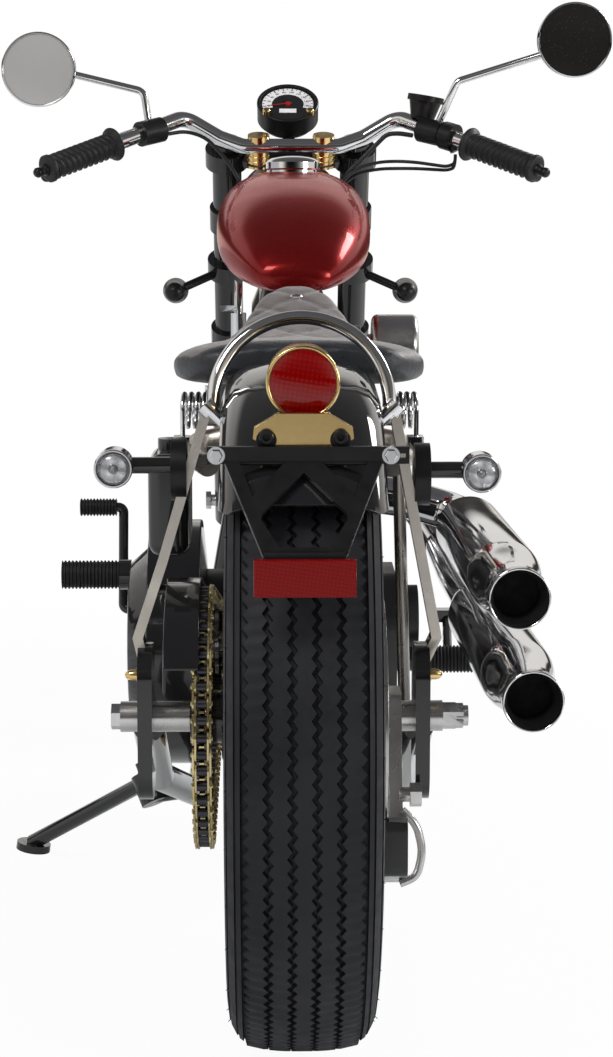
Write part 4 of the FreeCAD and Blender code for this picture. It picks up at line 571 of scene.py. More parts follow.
def tyre_surface(radius, half, rim_radius, rim_half, tread_half, grooves, waves, depth):
    """A tyre as (around, across): a rounded section whose grooves and edges swing with the zigzag.

    Across the tread each groove is four columns, two at the surface and two at its floor, and every
    column moves sideways by the same wave, so that the grooves stay sharp.
    """
    steps = np.arange(waves * 4)
    around = 2 * np.pi * steps / (waves * 4)
    wave = ZIGZAG_SWING * zigzag(steps / 4.0)
    columns, drop = [], []
    for centre in grooves:
        columns += [centre - GROOVE_TOP, centre - GROOVE_FLOOR, centre + GROOVE_FLOOR, centre + GROOVE_TOP]
        drop += [0, depth, depth, 0]
    gaps = [(a + b) / 2 for a, b in zip(grooves[:-1], grooves[1:])]
    columns += gaps + [-tread_half + 1, tread_half - 1]
    drop += [0] * (len(gaps) + 2)
    order = np.argsort(columns)
    x_tread = np.array(columns)[order]
    fall = CROWN * half * (np.abs(x_tread) / tread_half) ** CROWN_POWER + np.array(drop)[order]
    edge, bead = tread_half, radius - rim_radius
    right = np.array([
        (edge + 0.6, 0.10 * half + 4.6), (edge + 3.6, 0.11 * half + 4.9), (edge + 4.4, 0.12 * half + 1.4),
        (edge + 8.0, 0.15 * half + 2.0), (edge + 8.6, 0.16 * half + 4.2), (edge + 9.6, 0.17 * half + 4.4),
        (edge + 10.2, 0.18 * half + 2.6), (half - 3.5, 0.36 * half), (half - 2.6, 0.42 * half + 1.0),
        (half - 1.9, 0.42 * half), (half, 0.62 * half), (half, 0.8 * half), (half - 1.5, 0.98 * half),
        (half - 4.2, bead - 26), (half - 5.0, bead - 24.5), (half - 6.0, bead - 24),
        (rim_half + 4, bead - 15), (rim_half - 0.6, bead - 13), (rim_half - 0.6, bead - 2.0),
    ])
    left = right[::-1] * [-1, 1]
    x = np.concatenate([left[:, 0], x_tread, right[:, 0]])
    down = np.concatenate([left[:, 1], fall, right[:, 1]])
    swing = np.where(np.abs(x) <= tread_half + 0.7, 1.0, 0.0)
    x_all = x[None] + wave[:, None] * swing[None]
    r_all = radius - down[None] + 0 * x_all
    return np.stack([x_all, r_all * np.sin(around)[:, None], r_all * np.cos(around)[:, None]], -1)


def whiskers(shape, radius, half, centre):
    """Short rubber hairs left by the mould's vents, in two rings on the shoulders."""
    rng = np.random.default_rng(7)
    for i in range(HAIRS):
        angle = 2 * np.pi * (i + 0.4 * rng.random()) / HAIRS
        out = np.array([0, math.sin(angle), math.cos(angle)])
        side = np.array([1 if i % 2 else -1, 0, 0])
        way = side * 0.75 + 0.66 * out
        start = side * (half - 2.4) + (radius - 0.42 * half) * out + centre
        reach = (2.2 + 1.4 * rng.random()) * np.linalg.norm(way)
        hair = lathe([(0, 0.45), (reach / 2, 0.4), (reach, 0.25)], start, way, 5)
        shape.grid(hair, round_v=True, caps=True)


def tyre_piece(name, node, body, centre, sizes, tread_half, grooves, waves):
    """One tyre with its tread and hairs, from its radius, half width, and the rim's radius and half width."""
    radius, half, rim_radius, rim_half = sizes
    depth = bpy.context.scene.chopper_tyres.groove_depth
    rings = tyre_surface(radius - TYRE_INSET, half, rim_radius, rim_half, tread_half, grooves, waves, depth)
    shape = Shape()
    shape.grid(rings + np.asarray(centre), round_u=True, round_v=True)
    whiskers(shape, radius, half, np.asarray(centre))
    made = shape.piece(name, body, "tread_rubber", 28.0)
    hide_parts(node)


class MakeTyres(bpy.types.Operator):
    """Makes the two tyres with their zigzag treads."""
    bl_idname = "chopper.tyres"
    bl_label = "Tyres"

    def execute(self, context):
        sizes = context.scene.chopper_tyres
        tyre_piece("rear_tread", "rear_tyre", "rear_wheel_set", (0, 0, REAR_RADIUS),
                   (REAR_RADIUS, 70.0, 203.0, 50.0), 51.0, (-31.5, -10.5, 10.5, 31.5), sizes.rear_waves)
        tyre_piece("front_tread", "front_tyre", "front_wheel_set", (0, FRONT_AXLE_Y, FRONT_RADIUS),
                   (FRONT_RADIUS, 50.0, 241.0, 36.0), 34.0, (-18.0, 0.0, 18.0), sizes.front_waves)
        return {"FINISHED"}


class MakeWheels(bpy.types.Operator):
    """Finishes the rims, hubs, spokes, disc, sprocket and axles."""
    bl_idname = "chopper.wheels"
    bl_label = "Wheels"

    def execute(self, context):
        for node, y, z, rim in (("rear_wheel", 0, REAR_RADIUS, 176),
                                ("front_wheel", FRONT_AXLE_Y, FRONT_RADIUS, 214)):
            def spokes(p, y=y, z=z, rim=rim):
                r = np.hypot(p[:, 1] - y, p[:, 2] - z)
                return (r > SPOKE_ROOT) & (r < rim)
            refined(node, "frame_enamel", 0.0, spokes, "chrome")
        refined("rear_sprocket", "chain_gold", 0.3)
        refined("front_sprocket", "brushed_steel", 0.3)
        refined("rear_disc", "brushed_steel", 0.4)
        refined("rear_caliper", "engine_enamel", 0.8,
                lambda p: p[:, 0] > CALIPER_FACE_X, "brushed_steel")
        refined("rear_axle", "brushed_steel", 0.8)
        refined("front_axle", "zinc_plate", 0.5)
        return {"FINISHED"}


# Chain

CHAIN_PITCH = 15.875
CHAIN_LINKS = 100
REAR_TEETH = 48
FRONT_TEETH = 16
CHAIN_X = -93.0
FRONT_SPROCKET_Z = 290.0
PLATE_THICKNESS = 1.7

# The first guess of the sprockets' distance, and how many times it is mended
FIRST_GUESS = 500.0
GUESSES = 40

# Profiles of (along, radius)
PIN_PROFILE = ((-10.2, 0), (-10.2, 1.9), (-9.8, 2.5), (9.8, 2.5), (10.2, 1.9), (10.2, 0))
ROLLER_PROFILE = ((-4.8, 2.6), (-4.8, 4.7), (-4.4, 5.05), (4.4, 5.05), (4.8, 4.7), (4.8, 2.6))


def pin_places():
    """The pins' (y, z) places, one pitch apart round the two sprockets' common loop.

    The distance between the sprockets is settled first, by turns, so that the links fill the loop: an
    arc round each sprocket and two straight runs that touch both.
    """
    pitch = math.pi * CHAIN_PITCH / (REAR_TEETH * math.sin(math.pi / REAR_TEETH))
    big = REAR_TEETH * pitch / (2 * math.pi)
    small = FRONT_TEETH * pitch / (2 * math.pi)
    apart = FIRST_GUESS
    for _ in range(GUESSES):
        lean = math.asin((big - small) / apart)
        loop = 2 * apart * math.cos(lean) + big * (math.pi + 2 * lean) + small * (math.pi - 2 * lean)
        apart += (CHAIN_LINKS * pitch - loop) / 2
    climb = FRONT_SPROCKET_Z - REAR_RADIUS
    rear = np.array([0.0, REAR_RADIUS])
    front = np.array([math.sqrt(apart ** 2 - climb ** 2), FRONT_SPROCKET_Z])
    tilt = math.atan2(climb, front[0])
    lean = math.asin((big - small) / apart)
    straight = apart * math.cos(lean)
    rear_arc = big * (math.pi + 2 * lean)
    front_arc = small * (math.pi - 2 * lean)
    up = tilt + math.pi / 2 - lean
    down = tilt - math.pi / 2 + lean
    along = (np.arange(CHAIN_LINKS) * pitch + rear_arc / 2) % (rear_arc + front_arc + 2 * straight)
    ends = [rear_arc, rear_arc + straight, rear_arc + straight + front_arc]
    stage = np.searchsorted(ends, along, side="right")
    angle = np.select([stage == 0, stage == 1, stage == 2],
                      [down - along / big, up, up - (along - ends[1]) / small], down)
    slide = np.select([stage == 1, stage == 3], [along - rear_arc, along - ends[2]], 0.0)
    centre = np.where((stage <= 1)[:, None], rear, front)
    radius = np.where(stage <= 1, big, small)
    out = np.stack([np.cos(angle), np.sin(angle)], -1)
    ahead = np.stack([np.sin(angle), -np.cos(angle)], -1)
    return centre + radius[:, None] * out + slide[:, None] * ahead


def link_plates(shape, pins, nexts, x_near, high):
    """Waisted link plates between pairs of pins: two round ends joined by a hollowed waist."""
    t = np.linspace(-0.5 * np.pi, 0.5 * np.pi, 7)
    r = high / 2
    end = np.stack([CHAIN_PITCH / 2 + r * np.cos(t), r * np.sin(t)], -1)
    waist = np.array([[0.0, r * 0.74]])
    outline = np.concatenate([end, waist, -end, -waist])
    middle = (pins + nexts) / 2
    way = nexts - pins
    way /= np.linalg.norm(way, axis=1)[:, None]
    normal = np.stack([-way[:, 1], way[:, 0]], -1)
    flat = middle[:, None] + outline[None, :, :1] * way[:, None] + outline[None, :, 1:] * normal[:, None]
    count = len(outline)
    ring = np.arange(count)
    sides = np.stack([ring, (ring + 1) % count, (ring + 1) % count + count, ring + count], -1)
    for side in (-1, 1):
        near = CHAIN_X + side * x_near
        for face in flat:
            both = (near, near + side * PLATE_THICKNESS)
            points = [np.column_stack([np.full(count, x), face]) for x in both]
            shape.add(points, [ring, ring[::-1] + count, *sides])


class MakeChain(bpy.types.Operator):
    """Makes the drive chain link by link: waisted plates, rollers and riveted pins."""
    bl_idname = "chopper.chain"
    bl_label = "Drive chain"

    def execute(self, context):
        pins = pin_places()
        nexts = np.roll(pins, -1, axis=0)
        places = [(CHAIN_X, y, z) for y, z in pins]
        plates = Shape()
        link_plates(plates, pins[0::2], nexts[0::2], 7.2, 13.6)
        link_plates(plates, pins[1::2], nexts[1::2], 5.0, 14.4)
        made = plates.piece("chain_plates", "chassis", "chain_gold", 30.0)
        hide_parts("drive_chain")
        turned("chain_rivets", "chassis", "chain_gold", 40.0, PIN_PROFILE, places, RIGHT, 10)
        turned("chain_rollers", "chassis", "blued_steel", 40.0, ROLLER_PROFILE, places, RIGHT, 14)
        return {"FINISHED"}


# Bodywork

# The tank's y, half width, and the heights of its floor and its ridge
TANK_STATIONS = (
    (505, 40, 706, 740), (520, 52, 704, 756), (545, 64, 703, 773), (590, 79, 703, 796),
    (650, 90, 705, 816), (720, 95, 709, 831), (800, 95.5, 716, 841), (880, 90, 727, 845),
    (950, 77, 743, 841), (1000, 60, 758, 831), (1028, 48, 768, 821), (1040, 36, 774, 814),
)
FILLER = (0, 850, 842)
STRUT_FOOT_Z = 428


def tank_surface():
    """The tank as rings along Y: a rounded section whose width, top and bottom follow smooth lines.

    Each ring is a superellipse, with the power 2.4 in its upper half and 2.5 in its lower one.
    """
    line = smooth_line(TANK_STATIONS, 6)
    angle = 2 * np.pi * np.arange(72) / 72
    c, s = np.cos(angle), np.sin(angle)
    power = np.where(s > 0, 2.4, 2.5)
    width = np.sign(c) * np.abs(c) ** (2 / power)
    height = np.sign(s) * np.abs(s) ** (2 / power)
    y, half, low, high = (line[:, i, None] for i in range(4))
    middle = low + 0.47 * (high - low)
    rise = np.where(s > 0, high - middle, middle - low)
    return np.stack([half * width[None], y + 0 * c[None], middle + rise * height[None]], -1)


class MakeTank(bpy.types.Operator):
    """Makes the candy red tank with its filler cap and tap."""
    bl_idname = "chopper.tank"
    bl_label = "Fuel tank"

    def execute(self, context):
        rings = tank_surface()
        middle = rings.mean(1, keepdims=True)
        tail = middle[:1] * 0.35 + rings[:1] * 0.65 - [0, 4, 0]
        nose = middle[-1:] * 0.35 + rings[-1:] * 0.65 + [0, 3, 0]
        shape = Shape()
        shape.grid(np.concatenate([tail, rings, nose]), round_v=True, caps=True)
        tank = shape.piece("tank_shell", "chassis", "candy_red", 60.0)
        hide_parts("fuel_tank")
        turned("filler_cap", "chassis", "chrome", 35.0,
               [(-8, 0), (-8, 33), (2, 33), (4, 34.5), (12, 34.5), (14, 33), (17, 28), (19.5, 18), (20.6, 8),
                (21, 0)], [FILLER], (0, 0.03, 1), 48)
        refined("fuel_tap", "chrome", 0.5)
        return {"FINISHED"}


class MakeBodywork(bpy.types.Operator):
    """Finishes the fenders, the frame, the stand and the guards."""
    bl_idname = "chopper.bodywork"
    bl_label = "Frame and fenders"

    def execute(self, context):
        for node in ("rear_fender", "front_fender"):
            refined(node, "fender_enamel", 0.5)
        for node in ("frame_backbone", "frame_cradle", "oil_tank", "chain_guard", "side_stand"):
            refined(node, "frame_enamel", 1.0)
        refined("rear_struts", "strut_alloy", 1.0,
                lambda p: p[:, 2] < STRUT_FOOT_Z, "frame_enamel")
        refined("grab_loop", "chrome", 0.5)
        refined("seat_springs", "chrome", 0.8)
        refined("plate_bracket", "black_plastic", 0.6)
        refined("foot_controls", "frame_enamel", 0.8)
        return {"FINISHED"}


# Seat

# The seat's y, half width, and the heights of its pan and its crown
SEAT_STATIONS = (
    (44, 74, 652, 676), (56, 98, 646, 681), (90, 118, 636, 682), (130, 126, 633, 679), (170, 122, 637, 674),
    (220, 101, 648, 671), (270, 80, 655, 674), (320, 64, 662, 684), (370, 52, 674, 699), (410, 41, 685, 712),
    (438, 27, 690, 716), (446, 14, 695, 712),
)
STUD = (0, 395, 706)
# The seat's top, whose paler leather is partly painted sheen, and its black skirt
LEATHERS = ("top_leather", "skirt_leather")
SEAM_WIDTH = 0.30
SKIRT_SHARE = 0.60
SKIRT_BACK_Y = 62
CLOTH_GRID = 0.0045
CLOTH_FRAMES = 20
CLOTH_LIMIT = 3.0

# What the cloth holds: a height over the pan, a share of the seams, where these begin, and the seat's back
HELD_HEIGHT = 8
HELD_SEAM = 0.22
FIRST_SEAM_Y = 110
HELD_BACK_Y = 60


def seat_section(along):
    """The seat's half width, pan height and crown height at places along Y."""
    line = smooth_line(SEAT_STATIONS, 10)
    return [np.interp(along, line[:, 0], line[:, i]) for i in (1, 2, 3)]


def seam_distance(x, y, pitch):
    """Nought on the seams and 1 between them: they cross as diagonals of the plan, through the stud."""
    return np.minimum(np.abs(np.sin(np.pi * (x + (y - STUD[1])) / pitch)),
                      np.abs(np.sin(np.pi * (x - (y - STUD[1])) / pitch)))


def seat_surface(pitch, depth):
    """The cushion as rings along Y: flat below, crowned above, its sides rolled under.

    Its seams are rounded valleys on the top, which fade out at the back, at the nose and at the sides.
    """
    along = np.linspace(42, 445, 150)
    half, low, high = (value[:, None] for value in seat_section(along))
    angle = 2 * np.pi * np.linspace(0, 1, 121)[None, :-1] - np.pi / 2
    c, s = np.cos(angle), np.sin(angle)
    top = s > 0
    width = np.sign(c) * np.abs(c) ** np.where(top, 0.72, 0.5)
    tall = np.where(top, np.abs(s) ** 0.86, -np.abs(s) ** 0.45)
    middle = low + 0.42 * (high - low)
    x = half * width
    y = along[:, None] + 0 * x
    z = np.where(tall > 0, middle + (high - middle) * tall, middle + (middle - low) * tall)
    valley = depth * (1 - np.clip(seam_distance(x, y, pitch) / SEAM_WIDTH, 0, 1) ** 0.7)
    fade = np.clip((y - 120) / 60, 0, 1) * np.clip(tall * 2.2, 0, 1) * np.clip((442 - y) / 12, 0, 1)
    return np.stack([x, y, z - valley * fade], -1)


def baked(thing):
    """A new mesh of what a piece's modifiers make of it now."""
    return bpy.data.meshes.new_from_object(thing.evaluated_get(bpy.context.evaluated_depsgraph_get()))


def stuffed(thing, pitch):
    """Fills a stitched cushion by a cloth simulation: its seams and its base hold, and the panels puff up.

    The seams are the same two sets of diagonals that the surface is pressed along. No point moves
    further than the limit in millimetres.
    """
    scene = bpy.context.scene
    even = thing.modifiers.new("Even", "REMESH")
    even.mode = "VOXEL"
    even.voxel_size = CLOTH_GRID
    mesh = baked(thing)
    thing.modifiers.clear()
    thing.data = mesh
    before = rows_of(mesh.vertices, "co")
    p = upright(before)
    base = seat_section(p[:, 1])[1] + HELD_HEIGHT
    stitched = (seam_distance(p[:, 0], p[:, 1], pitch) < HELD_SEAM) & (p[:, 1] > FIRST_SEAM_Y)
    held = (p[:, 2] < base) | stitched | (p[:, 1] < HELD_BACK_Y)
    group = thing.vertex_groups.new(name="held")
    group.add(np.flatnonzero(held).tolist(), 1.0, "REPLACE")
    cloth = thing.modifiers.new("Stuffing", "CLOTH")
    for setting, value in (("quality", 5), ("mass", 0.25), ("tension_stiffness", 12),
                           ("compression_stiffness", 12), ("bending_stiffness", 0.4),
                           ("vertex_group_mass", "held"), ("use_pressure", True),
                           ("uniform_pressure_force", 4.0)):
        setattr(cloth.settings, setting, value)
    cloth.settings.effector_weights.gravity = 0.0
    cloth.point_cache.frame_start = 1
    cloth.point_cache.frame_end = CLOTH_FRAMES
    for frame_number in range(1, CLOTH_FRAMES + 1):
        scene.frame_set(frame_number)
    step = rows_of(baked(thing).vertices, "co") - before
    thing.modifiers.clear()
    scene.frame_set(1)
    length = np.linalg.norm(step, axis=1)
    step *= (np.minimum(length, CLOTH_LIMIT * MM) / np.maximum(length, 1e-9))[:, None]
    mesh.vertices.foreach_set("co", (before + step).ravel())
    mesh.update()
    mesh.shade_smooth()


class MakeSeat(bpy.types.Operator):
    """Makes the quilted saddle with its black skirt and its stud; the top's paler leather is partly painted
    sheen.
    """
    bl_idname = "chopper.seat"
    bl_label = "Seat"

    def execute(self, context):
        sizes = context.scene.chopper_seat
        shape = Shape()
        shape.grid(seat_surface(sizes.quilt_pitch, sizes.quilt_depth), round_v=True, caps=True)
        seat = shape.piece("saddle", "chassis", LEATHERS, 70.0)
        stuffed(seat, sizes.quilt_pitch)
        coat(seat.data, LEATHERS)
        soft = seat.modifiers.new("Rounded", "SUBSURF")
        soft.levels = 1
        soft.render_levels = 1
        centres = upright(rows_of(seat.data.polygons, "center"))
        _, low, high = seat_section(centres[:, 1])
        # Faces low on the sides and at the back take the black skirt leather; the rest keep the paler top
        # leather, which is partly painted sheen
        skirt = (centres[:, 2] < low + SKIRT_SHARE * (high - low)) | (centres[:, 1] < SKIRT_BACK_Y)
        seat.data.polygons.foreach_set("material_index", skirt.astype(np.int32))
        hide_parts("seat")
        turned("saddle_stud", "chassis", "chrome", 40.0,
               [(-2, 0), (-2, 7), (0, 7.5), (2, 6.5), (3.4, 4), (4, 0)], [STUD], (0, 0.1, 1), 20)
        return {"FINISHED"}


# Engine and exhaust

MUFFLER_ENDS = ((201, -112, 455), (215, -112, 358))
MUFFLER_AXIS = (-0.027, 1, 0)


class MakeEngine(bpy.types.Operator):
    """Finishes the castings, cylinders and covers."""
    bl_idname = "chopper.engine"
    bl_label = "Engine"

    def execute(self, context):
        refined("crankcase", "engine_enamel", 1.4)
        refined("primary_cover", "frame_enamel", 2.0)
        refined("front_cylinder", "fin_alloy", 0.3)
        refined("rear_cylinder", "fin_alloy", 0.3)
        refined("rocker_covers", "chrome", 2.0)
        refined("carburettor", "cast_alloy", 1.2)
        refined("air_cleaner", "brushed_steel", 3.0)
        return {"FINISHED"}


class MakeExhaust(bpy.types.Operator):
    """Finishes the pipes, and makes the mufflers' smooth shells and their sooty linings."""
    bl_idname = "chopper.exhaust"
    bl_label = "Exhaust"

    def execute(self, context):
        refined("exhaust_pipes", "chrome", 0.4)
        swell = smooth_line([(44, 26), (56, 26.8), (80, 30.2), (100, 33.8), (118, 36), (136, 36.5)], 5)
        outside = [(44, 0), (44, 23), (20, 23), (12, 27), (0.5, 27.2), (0, 27.8), (0, 28.4), (0.5, 29),
                   (11.4, 29), (12.4, 28.6), (19.4, 25.2), (21, 25), *swell.tolist(), (437, 36.5),
                   (512, 25), (512, 0)]
        inside = [(43, 0), (43, 22.5), (20.2, 22.5), (12.2, 26.5), (5, 26.5), (5, 26.9), (12, 26.9),
                  (20, 22.9), (43.9, 22.9), (43.9, 0)]
        shells = turned("muffler_shells", "chassis", "chrome", 40.0, outside, MUFFLER_ENDS,
                        MUFFLER_AXIS, 128)
        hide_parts("mufflers")
        turned("muffler_soot", "chassis", "soot", 40.0, inside, MUFFLER_ENDS, MUFFLER_AXIS, 64)
        return {"FINISHED"}


# Front end

HEADLAMP = (0, 1322, 780)
RISER_FOOT = (45, 1116.6, 840.9)
RISER_WAY = (0, -0.309, 0.951)
GRIP_END = (322.0, 942.0, 846.0)
GRIP_ROOT = (226.0, 1020.0, 884.0)
GRIP_RADIUS = 16.1
RIB_HEIGHT = 1.1
RIB_PITCH = 9.0
RIB_STARTS = 3
DIAL_MIDDLE = (-4, 1172, 930)
DIAL_UP = (0, 0.791, 0.611)


def grip_line(side):
    """A grip's outer end, and the way from it to its inner end: 1 for the right one, -1 for the left one."""
    end = np.multiply(GRIP_END, (side, 1, 1))
    return end, np.multiply(GRIP_ROOT, (side, 1, 1)) - end


def figures(shape, words, origin, right, up, size):
    """Figures as solid letters on the plane of right and up, centred on the origin."""
    curve = bpy.data.curves.new("figures", "FONT")
    curve.body = words
    curve.extrude = 0.04
    curve.resolution_u = 3
    curve.align_x = "CENTER"
    curve.align_y = "CENTER"
    carrier = bpy.data.objects.new("figures", curve)
    mesh = bpy.data.meshes.new_from_object(carrier)
    flat = rows_of(mesh.vertices, "co") * size
    points = origin + flat[:, :1] * right + flat[:, 1:2] * up + flat[:, 2:] * np.cross(right, up)
    shape.add(points, [list(face.vertices) for face in mesh.polygons])
    bpy.data.objects.remove(carrier)
    bpy.data.meshes.remove(mesh)
    bpy.data.curves.remove(curve)


class MakeFrontEnd(bpy.types.Operator):
    """Finishes the fork, bars, controls, mirrors and instruments."""
    bl_idname = "chopper.front"
    bl_label = "Front end"

    def execute(self, context):
        refined("triple_clamps", "frame_enamel", 1.2)
        refined("fork_legs", "frame_enamel", 1.0)
        refined("handlebar", "chrome", 0.4)
        refined("risers", "bright_brass", 0.8)
        refined("hand_controls", "black_plastic", 0.8)
        refined("speedometer", "black_plastic", 1.2)
        refined("headlamp", "frame_enamel", 1.0)
        self.headlight()
        refined("front_indicators", "black_plastic", 0.8)
        refined("control_cables", "hose_rubber", 0.0)
        refined("mirrors", "chrome", 1.0)
        self.grips()
        self.mirrors()
        self.dial()
        places = [np.multiply(RISER_FOOT, (side, 1, 1)) + along * np.array(RISER_WAY)
                  for side in (-1, 1) for along in (10, 17, 24, 31)]
        turned("riser_rings", "front_fork", "bright_brass", 50.0,
               [(-2.2, 14.6), (-1.6, 16.4), (1.6, 16.4), (2.2, 14.6)], places, RISER_WAY, 28, True)
        return {"FINISHED"}

    def headlight(self):
        """A shallow bright dish with the bulb's cap in it, a domed glass over them and a bright rim."""
        turned("headlamp_dish", "front_fork", "chrome", 40.0,
               [(2.4, 0), (2.4, 75), (7.4, 75), (6.4, 70), (4.6, 55), (3.2, 30), (2.6, 13), (3.0, 12),
                (4.6, 11), (6.4, 7), (7.0, 0)], [HEADLAMP], AHEAD, 72)
        glass = turned("headlamp_glass", "front_fork", "clear_lens", 40.0,
                       [(8, 0), (8, 75.4), (10, 75.4), (11.2, 70), (13, 50), (14.6, 25), (15.2, 0)],
                       [HEADLAMP], AHEAD, 72)
        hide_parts("headlamp_lens")
        turned("headlamp_rim", "front_fork", "chrome", 50.0,
               [(11.8, 81.4), (13.4, 81.2), (14.6, 79.4), (14.2, 77), (12.4, 75.8), (11.8, 75.8)],
               [HEADLAMP], AHEAD, 72, True)

    def grips(self):
        """Rubber sleeves and the knobs at their ends: slanting ribs run round each sleeve.

        A rib is a clipped cosine of the way along and the angle, between an end collar and an inner flange.
        """
        shape = Shape()
        knobs = Shape()
        ends = np.array([(-4, 0), (-4, 13), (-3, 17), (-1.5, 18.6), (3, 18.6), (4.5, 17.6), (5.5, 15.4)])
        roots = np.array([(103.5, 15.4), (106, 17), (108, 22), (110, 23), (112, 22.4), (113.4, 20),
                          (113.4, 11.6)])
        along = np.linspace(6.5, 102.5, 150)
        angle = 2 * np.pi * np.arange(40) / 40
        for side in (-1, 1):
            end, way = grip_line(side)
            axis, first, second = across(way)
            phase = along[:, None] / RIB_PITCH + side * RIB_STARTS * angle[None] / (2 * np.pi)
            ribs = GRIP_RADIUS + RIB_HEIGHT * np.clip(1.8 * np.cos(2 * np.pi * phase), -1, 1)
            place = np.concatenate([ends[:, 0], along, roots[:, 0]])[:, None, None]
            radius = np.concatenate([ends[:, 1:] + 0 * angle, ribs, roots[:, 1:] + 0 * angle])[:, :, None]
            ring = np.cos(angle)[:, None] * first + np.sin(angle)[:, None] * second
            shape.grid(end + place * axis + radius * ring[None], round_v=True)
            knobs.turn([(2, 0), (2, 8), (6, 8.4), (9, 6.2), (12, 5.4), (15, 6.6), (19, 6.8), (22, 4.6),
                        (23, 0)], end, -way, 24)
        sleeves = shape.piece("grip_sleeves", "front_fork", "grip_rubber", 50.0)
        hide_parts("grips")
        knobs.piece("bar_ends", "front_fork", "black_plastic", 50.0)

    def mirrors(self):
        """A domed glass in a thin rim on each mirror: pale on the left, smoked on the right."""
        glasses = {"left_glass": ("mirror_glass", (-343, 1048, 979)),
                   "right_glass": ("tinted_mirror", (383, 1028, 1018))}
        dome = [(-0.4, 0), (-0.4, 47), (1.0, 47), (1.5, 38), (2.2, 20), (2.5, 0)]
        for name, (finish, place) in glasses.items():
            turned(name, "front_fork", finish, 60.0, dome, [place], BACK, 64)
        turned("mirror_rims", "front_fork", "chrome", 50.0,
               [(-1, 50.4), (1.6, 50.4), (3.0, 49.6), (3.2, 48.4), (1.4, 47.2), (-1, 47.2)],
               [place for _, place in glasses.values()], BACK, 64, True)

    def dial(self):
        """The speedometer's face: a white half ring with ticks and figures, a needle and a white display."""
        right, up = np.array(RIGHT, float), np.array(DIAL_UP)
        axis = np.cross(right, up)
        middle = np.array(DIAL_MIDDLE) + axis * 6

        def ray(degrees):
            turn = np.radians(degrees)
            return np.cos(turn) * right + np.sin(turn) * up

        def plate(name, finish, grid):
            shape = Shape()
            shape.grid(grid, round_v=True, caps=True)
            shape.piece(name, "front_fork", finish, 40.0)

        turned("dial_face", "front_fork", "dial_black", 40.0,
               [(0.2, 0), (0.2, 38.6), (0.9, 38.6), (0.9, 0)], [middle], axis, 56)
        turned("dial_bezel", "front_fork", "black_plastic", 40.0,
               [(0, 43.6), (3.4, 43.6), (4.6, 42.4), (4.6, 40), (2.2, 38.8), (0, 38.8)],
               [middle], axis, 56, True)
        band = np.array([(22.5, 1.0), (36, 1.0), (36, 1.6), (22.5, 1.6)])
        way = np.array([ray(degrees) for degrees in np.linspace(-20, 200, 45)])
        plate("dial_scale", "dial_white",
              middle + band[None, :, :1] * way[:, None] + band[None, :, 1:] * axis)
        marks = Shape()
        for i, degrees in enumerate(np.linspace(190, -10, 19)):
            out = ray(degrees)
            start, wide = (33.0, 0.35) if i % 2 else (31.0, 0.55)
            outline = [(start, -wide), (35.2, -wide), (35.2, wide), (start, wide)]
            tick = slab(outline, 0.5, middle + axis * 1.8, out, np.cross(axis, out))
            marks.grid(tick, round_v=True, caps=True)
        for i, degrees in enumerate(np.linspace(190, -10, 10)):
            figures(marks, str(20 * i), middle + axis * 1.6 + 27.0 * ray(degrees), right, up, 5.2)
        marks.piece("dial_marks", "front_fork", "dial_black", 30.0)
        out = ray(190)
        needle = Shape()
        outline = [(-6, -1.2), (30, -0.3), (30, 0.3), (-6, 1.2)]
        hand = slab(outline, 0.6, middle + axis * 2.6, out, np.cross(axis, out))
        needle.grid(hand, round_v=True, caps=True)
        needle.turn([(0.9, 0), (0.9, 4), (3.2, 3.6), (3.6, 0)], middle, axis, 24)
        needle.piece("dial_needle", "front_fork", "dial_red", 40.0)
        outline = [(-12, -20), (12, -20), (12, -11), (-12, -11)]
        plate("dial_display", "dial_white", slab(outline, 0.6, middle + axis * 1.2, right, up))
        turned("dial_knobs", "front_fork", "bright_brass", 30.0,
               [(3.9, 0), (3.9, 4.6), (4.8, 5.4), (11, 5.4), (12.4, 4.2), (12.6, 0)],
               [middle + x * right - 27 * up for x in (-30, 31)], axis, 16)


# Lamps and fasteners

TAIL_LAMP = (0, -188, 662)
REAR_INDICATORS = ((-178, -26, 566), (172, -26, 561))
FRONT_INDICATORS = ((-166, 1180, 671), (166, 1180, 671))
INDICATORS_X = 0.5
INDICATOR_ARM = 155
PLATE_BOLTS = ((-76, -220.3, 601.5), (76, -220.3, 601.5))

# Each peg's inner end, outer end, radius and the pitch of its ribs
PEGS = (((-210, 560, 366), (-278.4, 560, 366), 15.2, 4.3), ((146, 638, 246), (226.4, 638, 246), 15.2, 4.3),
        ((-223, 720, 425), (-268.4, 720, 425), 9.2, 4.0))


